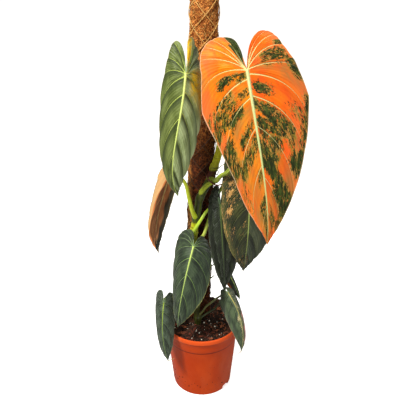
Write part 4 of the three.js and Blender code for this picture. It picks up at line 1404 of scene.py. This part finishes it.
# Patches of the second colour: half, from and to along the outline, from and to across, density.
# On leaf 3, which shows its back, they are the dark parts of the back.
PATCHES = {
    "leaf_1": [
        (-1, -0.1, 0.26, -0.5, 1.5, 1.6), (-1, -0.1, 0.29, -0.5, 0.6, 1.6),
        (-1, 0.500, 0.546, 0.14, 0.66, 0.8), (-1, 0.512, 0.56, -0.2, 0.3, 0.66),
        (-1, 0.552, 0.605, 0.3, 1.05, 0.68), (-1, 0.572, 0.605, -0.1, 0.34, 0.62),
        (-1, 0.585, 0.618, 0.5, 1.2, 0.74), (-1, 0.60, 0.635, 0.2, 0.7, 0.8),
        (-1, 0.663, 0.69, 0.05, 0.6, 0.8), (-1, 0.625, 0.71, 0.66, 1.3, 0.72),
        (-1, 0.69, 0.745, -0.2, 0.85, 0.68), (-1, 0.76, 0.79, 0.0, 0.4, 0.68),
        (-1, 0.81, 0.99, -0.2, 0.65, 0.72), (-1, 0.72, 0.80, 0.7, 1.3, 0.5),
        (1, 0.34, 0.38, 0.75, 1.3, 0.8), (1, 0.38, 0.46, 0.3, 1.0, 0.68),
        (1, 0.46, 0.486, 0.2, 0.75, 0.55), (1, 0.44, 0.515, 0.78, 1.3, 0.78),
        (1, 0.555, 0.592, 0.02, 0.42, 0.8), (1, 0.535, 0.615, 0.9, 1.3, 1.0),
        (1, 0.60, 0.69, 0.84, 1.4, 0.74), (1, 0.57, 0.61, 0.6, 1.0, 0.55),
        (1, 0.605, 0.65, -0.1, 0.5, 0.78),
        (1, 0.61, 0.668, 0.18, 0.86, 0.74), (1, 0.66, 0.705, 0.74, 1.3, 0.84),
        (1, 0.65, 0.71, 0.0, 0.62, 0.76), (1, 0.70, 0.77, -0.05, 0.56, 0.86),
        (1, 0.73, 0.80, 0.4, 1.3, 0.8), (1, 0.78, 0.86, 0.75, 1.3, 0.7),
        (1, 0.825, 0.88, 0.2, 0.85, 0.62), (1, 0.89, 0.97, 0.6, 1.3, 0.4),
    ],
    "leaf_3": [
        (-1, 0.3, 0.58, 0.1, 1.6, 1.5), (-1, 0.55, 0.7, 0.4, 1.6, 1.5),
        (-1, 0.67, 0.97, 0.64, 1.6, 1.5), (1, 0.88, 1.1, -0.5, 1.5, 1.3),
        (-1, 0.87, 1.1, -0.5, 1.5, 1.3),
    ],
    "leaf_4": [
        (-1, 0.535, 0.562, 0.5, 0.75, 0.85), (-1, 0.572, 0.598, 0.5, 0.8, 0.85),
        (-1, 0.625, 0.668, 0.55, 0.85, 0.68), (-1, 0.625, 0.645, 0.25, 0.45, 0.7),
        (-1, 0.48, 0.67, 0.3, 1.1, 0.38), (-1, 0.60, 0.72, 0.85, 1.2, 0.45),
        (-1, 0.67, 0.86, 0.6, 1.2, 0.3), (-1, 0.82, 0.88, 0.4, 1.0, 0.4),
        (-1, 0.72, 0.80, 0.1, 0.5, 0.3), (1, 0.85, 0.95, 0.0, 0.6, 0.35),
        (-1, 0.88, 0.97, 0.0, 0.8, 0.38), (1, 0.0, 0.5, 0.0, 1.2, 0.4),
    ],
    "leaf_8": [(-1, 0.72, 0.95, -0.2, 0.3, 0.5), (1, 0.5, 0.8, -0.2, 0.4, 0.4)],
}
# Soft washes of a third colour, written the same way, with a strength in place of the density.
# A seventh value slants the wash along the outline, the further from the rib the more.
WASHES = {
    "leaf_1": [(-1, 0.62, 0.672, -0.1, 0.62, 0.75), (-1, 0.70, 1.0, -0.1, 0.75, 0.5),
               (-1, 0.64, 0.72, 0.6, 1.2, 0.5), (-1, 0.555, 0.60, 0.05, 0.5, 0.35),
               (1, 0.468, 0.535, 0.55, 1.2, 0.75), (1, 0.62, 0.655, 0.55, 0.9, 0.6),
               (1, 0.78, 1.0, -0.1, 0.8, 0.6), (1, 0.70, 0.73, 0.35, 0.6, 0.8),
               (1, 0.37, 0.47, 0.2, 1.0, 0.4), (-1, 0.80, 0.97, 0.3, 0.9, 0.9),
               (1, 0.86, 0.93, 0.1, 0.7, 0.8), (-1, 0.44, 0.52, 0.9, 1.5, 0.6),
               (1, 0.462, 0.512, 0.1, 0.62, 0.6),
               (1, 0.70, 0.755, 0.72, 1.02, 0.7), (-1, 0.24, 0.30, 0.3, 0.8, 0.45)],
    "leaf_2": [(1, 0.45, 0.585, 0.22, 1.4, 1.25), (1, -0.1, 0.235, -0.5, 1.5, 1.3)],
    # On leaf 3 the wash marks the lit part of the back: painted light there.
    "leaf_3": [(1, -0.3, 0.56, -0.5, 1.5, 1.0, 0.2), (1, 0.5, 0.95, 0.96, 1.5, 0.8)],
    "leaf_4": [(-1, 0.5, 0.8, 0.9, 1.2, 0.5)],
    "leaf_8": [(1, 0.64, 0.84, 0.5, 1.5, 1.3)],
    "leaf_9": [(-1, 0.45, 0.7, 0.7, 1.5, 1.2)],
}


CLOUD_SCALES = (2.2, 5.0)
UNDER_SEED = 4.0
OLIVE_SEED = 31.0
SPOT_SEED = 10.2
FINE_VEINS = 6.0


def blade_finish(name, look):
    material, n, shader = new_material(
        name + "_upper", roughness=0.5, specular=look.get("shine", 0.3), sheen=look["sheen"],
        sheen_tint=(0.9, 0.95, 0.85, 1))
    growth, measure = n.uv("growth"), n.uv("measure")
    marks = n.new("ShaderNodeAttribute", attribute_name="variegation")
    parts = n.split(marks.outputs["Color"])
    spread = n.split(growth)
    size = n.split(measure)
    at = n.stretched(spread, *CLOUD_SCALES)
    clouds = n.noise(at, 0.7, 3.0, 0.6, 0.3)
    base = n.mix(n.ramp(clouds, 0.35, 0.65), *look["base"])
    if "right" in look:
        right = n.math("GREATER_THAN", spread[0], RIGHT_COUNT - 10)
        base = n.mix(right, base, n.mix(n.ramp(clouds, 0.35, 0.65), *look["right"]))
    if "outer" in look:
        rim = n.times(n.ramp(spread[1], 0.55, 1.0), n.ramp(clouds, 0.3, 0.6, 0.35, 0.8))
        base = n.mix(rim, base, look["outer"])
    lines = n.group(VEINS, **{"Growth": growth, "Measure": measure, "Vein width": look["vein_width"],
                              "Fine veins": FINE_VEINS})
    # Painted shade: the band just past each vein takes the darker tone, as the shade in the crease below the
    # vein.
    phase = n.math("FRACT", spread[0])
    band = n.band(phase, (0.0, 0.10), (0.12, 0.62))
    base = n.mix(n.times(band, look["band"]), base, look["crease_shade_tone"])
    wash_noise = n.ramp(n.noise(at, 1.1, 3.0, 0.6, 0.4), 0.3, 0.7, 0.35, 1.0)
    base = n.mix(n.times(parts[1], wash_noise), base, look["wash"])
    # Painted shade in the creases of the fine veins.
    fine_tone = n.mix(0.5, base, look["crease_shade_tone"])
    base = n.mix(n.times(lines["Fine"], look.get("stripe", 0.3)), base, fine_tone)
    if "olive" in look:
        faint_spots = n.group(SPECKLE, Growth=growth, Density=n.math("ADD", parts[0], 0.04),
                              Seed=OLIVE_SEED, Across=4.0, Along=9.0, Edge=0.2)
        faint = n.mix(n.ramp(n.noise(at, 1.7, 2.0), 0.4, 0.6), *look["olive"])
        base = n.mix(n.times(faint_spots["Mask"], 0.85), base, faint)
    spots = n.group(SPECKLE, Growth=growth, Density=n.times(parts[0], look.get("amount", 1.0)),
                    Seed=SPOT_SEED)
    tone = n.mix(n.ramp(n.noise(at, 2.6, 2.0), 0.42, 0.66), look["blotch"],
                 look.get("blotch_light", look["blotch"]))
    colour = n.mix(spots["Mask"], base, tone)
    shown = n.times(lines["Vein"], n.math("MULTIPLY_ADD", spots["Mask"], -0.45, 0.85))
    colour = n.mix(shown, colour, look["vein"])
    halo = n.ramp(size[1], 0.5, 5.0, look.get("halo", 0.2), 0.0)
    colour = n.mix(halo, colour, look["vein"])
    count = n.math("MODULO", spread[0], RIGHT_COUNT)
    down = n.math("DIVIDE", count, look["vein_count"] + 1.0)
    rib_width = n.ramp(down, 0.4, 1.0, look.get("rib_width", 1.5), 0.5)
    rib = n.ramp(size[1], n.times(rib_width, 0.55), rib_width, 1.0, 0.0)
    colour = n.mix(rib, colour, n.mix(n.ramp(down, 0.5, 0.95), *look["rib"]))
    edge = n.ramp(spread[1], 0.978, 0.995)
    colour = n.mix(n.times(edge, 0.6), colour, look["margin"])
    pebble = n.noise(n.place(), 900.0, 2.0, 0.6)
    height = n.math("ADD", n.times(lines["Ridge"], look.get("ridge", 0.6)), n.times(pebble, 0.12))
    height = n.math("SUBTRACT", height, n.times(lines["Vein"], 0.5))
    plug(n, shader, colour, n.ramp(clouds, 0.3, 0.7, 0.42, 0.56), (height, 0.9, 0.0013))
    return material


def under_finish(name, look):
    material, n, shader = new_material(
        name + "_under", roughness=0.5, specular=0.35, sheen=0.1, sheen_tint=(0.95, 0.95, 0.85, 1))
    growth, measure = n.uv("growth"), n.uv("measure")
    spread = n.split(growth)
    at = n.vector(n.times(spread[0], CLOUD_SCALES[0]), n.times(spread[1], CLOUD_SCALES[1]), UNDER_SEED)
    clouds = n.noise(at, 0.7, 3.0, 0.6, 0.3)
    base = n.mix(n.ramp(clouds, 0.35, 0.65), *look["under"])
    lines = n.group(VEINS, **{"Growth": growth, "Measure": measure,
                              "Vein width": look["vein_width"]})
    marks = n.new("ShaderNodeAttribute", attribute_name="variegation")
    parts = n.split(marks.outputs["Color"])
    # Only leaf 3 has these: the peach wash is its back in painted light, and the brown around it the same
    # back in painted shade.
    if "under_lit_wash" in look:
        base = n.mix(parts[1], base, look["under_lit_wash"])
        line = n.times(n.times(parts[1], n.math("SUBTRACT", 1.0, parts[1])), 3.2)
        base = n.mix(line, base, look["under_line"])
        base = n.mix(parts[0], base, look["under_dark"])
        # Painted light: the back glows through its emission, the washed part most and the dark patches
        # least.
        through = n.math("MULTIPLY_ADD", parts[1], 0.4, n.math("MULTIPLY_ADD", parts[0], -0.28, 0.28))
        n.link(n.mix(through, "000000", base), shader["Emission Color"])
        shader["Emission Strength"].default_value = 1.0
    fine_tone = n.mix(0.4, base, look["under_vein"])
    fine_share = n.math("MULTIPLY_ADD", parts[0], -0.25, 0.3, clamp=True)
    base = n.mix(n.times(lines["Fine"], fine_share), base, fine_tone)
    vein_share = n.math("MULTIPLY_ADD", parts[0], -0.65, 0.8, clamp=True)
    colour = n.mix(n.times(lines["Vein"], vein_share), base, look["under_vein"])
    height = n.math("ADD", n.times(lines["Fine"], 0.3), lines["Vein"])
    plug(n, shader, colour, n.ramp(clouds, 0.3, 0.7, 0.45, 0.6), (height, 0.4, 0.0006))
    return material


def rib_finish(name, look):
    material, n, shader = new_material(name + "_rib", roughness=0.45, specular=0.4)
    along = n.split(n.uv("UVMap"))
    colour = n.mix(along[1], *look["rib"])
    streak = n.noise(n.stretched(along, 8.0, 30.0), 1.0, 2.0)
    colour = n.mix(n.times(n.ramp(streak, 0.4, 0.7), 0.3), colour, look["under"][0])
    plug(n, shader, colour, n.ramp(streak, 0.3, 0.7, 0.4, 0.5))
    return material


# Dark, light and dry tone of each stalk
STALK_TONES = {
    "sheath": ("A8B420", "C8D840", "5A4A18"), "husk": ("521A0C", "74301A", "200C06"),
    "leaf_1": ("7A8A20", "B0C040", "6A2A18"), "leaf_2": ("7C8E24", "A8BC48", "5A3018"),
    "leaf_3": ("B8C814", "D4DC40", "6A5A20"), "leaf_4": ("B8CC40", "D8E070", "7A6A28"),
    "leaf_5": ("B8D830", "C8E048", "6A4A20"), "leaf_6": ("8AA830", "B8D050", "5A4A20"),
    "leaf_7": ("7A9038", "A8C030", "6A5A30"), "leaf_8": ("4A5422", "7A7844", "6A4A34"),
    "leaf_9": ("303C1C", "4A5428", "3A2A18"),
}


def petiole_finish(name):
    base, light, dry = STALK_TONES[name]
    material, n, shader = new_material(name + "_stalk", roughness=0.38, specular=0.5)
    along = n.split(n.uv("UVMap"))
    streak = n.noise(n.stretched(along, 14.0, 9.0), 1.0, 3.0, 0.6)
    colour = n.mix(n.ramp(streak, 0.35, 0.7), base, light)
    specks = n.noise(n.stretched(along, 16.0, 70.0), 1.0, 2.0, 0.7)
    colour = n.mix(n.times(n.ramp(specks, 0.62, 0.68), 0.55), colour, dry)
    colour = n.mix(n.times(n.ramp(along[1], 0.0, 0.06, 1.0, 0.0), 0.7), colour, dry)
    plug(n, shader, colour, n.ramp(streak, 0.3, 0.7, 0.32, 0.46), (streak, 0.2, 0.0004))
    return material


def stem_finish():
    material, n, shader = new_material("stem_bark", roughness=0.42, specular=0.45)
    xyz = n.split(n.place())
    streak = n.noise(n.stretched(xyz, 260.0, 260.0, 60.0), 1.0, 3.0, 0.6)
    rings = n.noise(n.stretched(xyz, 30.0, 30.0, 420.0), 1.0, 2.0, 0.5)
    joint = n.band(xyz[2], (0.275, 0.29), (0.322, 0.332))
    # The yellow tones above about 0.4 m are partly the stem's own colour and partly painted light, as the
    # big leaf shades that part; the band near 0.3 m gets them too.
    light = n.math("MAXIMUM", n.ramp(xyz[2], 0.395, 0.44), n.times(joint, 0.8))
    low = n.mix(n.ramp(streak, 0.35, 0.7), "2A3208", "5A6810")
    low = n.mix(n.ramp(xyz[2], 0.15, 0.22, 0.6, 0.0), low, "1A1608")
    high = n.mix(n.ramp(streak, 0.35, 0.7), "CECC0A", "F2F23C")
    colour = n.mix(light, low, high)
    colour = n.mix(n.times(n.ramp(rings, 0.58, 0.66), 0.65), colour, "3A3010")
    husk = n.band(xyz[2], (0.403, 0.406), (0.413, 0.418))
    colour = n.mix(n.times(husk, n.ramp(streak, 0.3, 0.45, 0.4, 1.0)), colour, "54200F")
    relief = n.math("ADD", streak, rings)
    plug(n, shader, colour, n.ramp(streak, 0.3, 0.7, 0.36, 0.5), (relief, 0.3, 0.0005))
    return material


def coir_finish(name, dark, light, dark_low, light_low):
    """Coir, with its own pair of tones for the lit upper part and for the darker part below it, partly damp
    and partly painted shade under the leaves.
    """
    material, n, shader = new_material(name, roughness=0.9, specular=0.15)
    place = n.place()
    xyz = n.split(place)
    mat = n.group(FIBRE, Place=place)
    height = mat["Height"]
    upper = n.mix(height, dark, light)
    lower = n.mix(height, dark_low, light_low)
    # The lower part gets the darker pair: partly damp coir, partly painted shade under the leaves.
    top = n.ramp(xyz[2], 0.40, 0.60)
    # Painted light: the left side of the pole takes the upper tones from about 0.3 m up.
    painted_lit_side = n.times(n.ramp(xyz[0], -0.0205, -0.012, 1.0, 0.0), n.ramp(xyz[2], 0.28, 0.32))
    colour = n.mix(n.math("MAXIMUM", top, painted_lit_side), lower, upper)
    # Painted highlight on that left side, between about 0.3 m and 0.42 m.
    colour = n.mix(n.times(painted_lit_side, n.ramp(xyz[2], 0.36, 0.42, 0.6, 0.0)), colour, "FFB868")
    # Painted shade in the pits between the fibres.
    colour = n.mix(n.times(mat["Dark"], 0.5), colour, dark_low)
    plug(n, shader, colour, n.ramp(height, 0.0, 1.0, 0.95, 0.8), (height, 0.8, 0.0012))
    return material


def stake_finish():
    """Plain turned wood for the stake inside the coir."""
    material, n, shader = new_material("stake_wood", roughness=0.7, specular=0.3)
    xyz = n.split(n.place())
    grain = n.noise(n.stretched(xyz, 420.0, 420.0, 14.0), 1.0, 3.0, 0.6)
    colour = n.mix(n.ramp(grain, 0.35, 0.7), "7A5530", "B48C5A")
    plug(n, shader, colour, n.ramp(grain, 0.3, 0.7, 0.75, 0.62), (grain, 0.3, 0.0004))
    return material


def net_finish():
    material, n, shader = new_material("net_cord", roughness=0.55, specular=0.4)
    along = n.split(n.uv("UVMap"))
    twist = n.math("SINE", n.math("ADD", n.times(along[1], 2200.0), n.times(along[0], ROUGH_TURN)))
    # Dull below 0.46 m, bright above 0.6 m: like the coir, the lower cords are partly damp and partly in
    # painted shade under the leaves.
    lit_upper_cords = n.ramp(n.split(n.place())[2], 0.46, 0.60)
    dull = n.mix(n.ramp(twist, -1.0, 1.0), "2E1A0C", "5A3A1C")
    bright = n.mix(n.ramp(twist, -1.0, 1.0), "C08C40", "F0C070")
    plug(n, shader, n.mix(lit_upper_cords, dull, bright), n.ramp(twist, -1.0, 1.0, 0.6, 0.5))
    return material


def soil_finish():
    material, n, shader = new_material("soil_mix", roughness=0.92, specular=0.2)
    place = n.place()
    grain = n.noise(place, 380.0, 4.0, 0.7)
    patch = n.noise(place, 60.0, 2.0, 0.6)
    colour = n.mix(n.ramp(grain, 0.42, 0.66), "150D08", "4A3020")
    colour = n.mix(n.times(n.ramp(patch, 0.5, 0.7), 0.45), colour, "6A4028")
    plug(n, shader, colour, n.ramp(grain, 0.3, 0.7, 0.95, 0.75), (grain, 0.8, 0.001))
    return material


def bark_finish():
    material, n, shader = new_material("bark_chip", roughness=0.85, specular=0.2)
    place = n.place()
    grain = n.noise(place, 240.0, 4.0, 0.7, 0.6)
    patch = n.noise(place, 22.0, 1.0, 0.5)
    colour = n.mix(n.ramp(patch, 0.4, 0.6), "6A3424", "A4603C")
    colour = n.mix(n.ramp(grain, 0.38, 0.6), "2E1810", colour)
    plug(n, shader, colour, n.ramp(grain, 0.3, 0.7, 0.92, 0.78), (grain, 0.7, 0.0008))
    return material


def perlite_finish():
    material, n, shader = new_material("perlite_grain", roughness=0.85, specular=0.3)
    pores = n.noise(n.place(), 900.0, 2.0, 0.6)
    colour = n.mix(n.ramp(pores, 0.35, 0.7), "E0D4BC", "FFF8E4")
    plug(n, shader, colour, n.ramp(pores, 0.3, 0.7, 0.9, 0.8), (pores, 0.6, 0.0004))
    return material


def pot_finish():
    material, n, shader = new_material("pot_plastic", roughness=0.42, specular=0.15)
    place = n.place()
    xyz = n.split(place)
    film = n.noise(place, 14.0, 3.0, 0.6, 0.4)
    colour = n.mix(n.ramp(film, 0.3, 0.7), "BA3A08", "CA4812")
    # Painted highlight: the lip, above 0.1215 m, is a lighter orange.
    colour = n.mix(n.ramp(xyz[2], 0.1215, 0.1225), colour, "E4561E")
    # Painted shade in the line at the collar step.
    collar_shade = n.band(xyz[2], (0.0985, 0.1003), (0.1012, 0.1022))
    colour = n.mix(n.times(collar_shade, 0.75), colour, "5E1806")
    # Painted shade in the line under the lip.
    lip_shadow_line = n.band(xyz[2], (0.1195, 0.1212), (0.1216, 0.1222))
    colour = n.mix(n.times(lip_shadow_line, 0.7), colour, "6A1C06")
    wipe = n.noise(n.stretched(xyz, 30.0, 30.0, 9.0), 1.0, 3.0, 0.6)
    colour = n.mix(n.times(n.ramp(wipe, 0.5, 0.8), 0.22), colour, "C07A5A")
    specks = n.noise(place, 260.0, 1.0, 0.5)
    low = n.ramp(xyz[2], 0.005, 0.06, 1.0, 0.25)
    dirt = n.times(n.ramp(specks, 0.735, 0.75), low)
    colour = n.mix(n.times(dirt, 0.8), colour, "2A1810")
    fine = n.noise(place, 700.0, 2.0, 0.5)
    plug(n, shader, colour, n.ramp(wipe, 0.3, 0.8, 0.36, 0.52), (fine, 0.06, 0.0003))
    return material


def floor_finish():
    """White to the camera and greyer to the plant, so that less light comes up from below."""
    material, n, shader = new_material("floor_paint", roughness=0.6, specular=0.2)
    tint = n.noise(n.place(), 3.0, 1.0, 0.5)
    seen = n.new("ShaderNodeLightPath").outputs["Is Camera Ray"]
    paint = n.mix(tint, "F6F5F3", "F8F7F5")
    n.link(n.mix(seen, "A8A7A5", paint), shader["Base Color"])
    n.link(paint, shader["Emission Color"])
    n.link(n.times(seen, 0.75), shader["Emission Strength"])
    return material


# Putting the plant together

def settle(piece, slot, *nodes):
    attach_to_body(piece, "root")
    if nodes:
        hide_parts(*nodes)


def add_floor():
    pick_none()
    bpy.ops.mesh.primitive_plane_add(size=8)
    floor = bpy.context.object
    floor.name = "floor"
    coat(floor, floor_finish())


add_camera()
add_studio()
add_floor()

for leaf in LEAVES:
    blade, rib_line = make_blade(leaf)
    slot_name = leaf["slot"]
    settle(blade, slot_name, leaf["name"] + "_blade")
    settle(make_rib(leaf, rib_line), slot_name)
    if "drip" in leaf:
        settle(make_drip_tip(leaf, rib_line), slot_name)
    settle(make_petiole(leaf, rib_line), "petiole", leaf["name"] + "_petiole")

settle(make_stem(), "stem", "stem")
settle(make_sheath(), "petiole")
settle(make_husk(), "petiole")
coir = make_coir()
coat(coir, coir_finish("coir_mat", "84441C", "F09848", "22100A", "703818"))
smooth(coir)
coir.name = "coir_sleeve"
settle(coir, "coir", "pole_coir")
fibres = make_fibres(LOOSE_FIBRES, 21)
coat(fibres, coir_finish("coir_strand", "C88438", "FFC878", "4A2412", "8A4A22"))
settle(fibres, "coir")
settle(make_net(), "net", "pole_net")
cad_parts["pole_stake"].material_slots[0].material = stake_finish()
settle(make_pot(), "pot", "pot")
soil = make_soil()
coat(soil, soil_finish())
smooth(soil)
settle(soil, "soil", "soil")
for make in (make_crumbs, make_bark, make_small_chips, make_perlite, make_pot_specks):
    settle(make(), "soil")
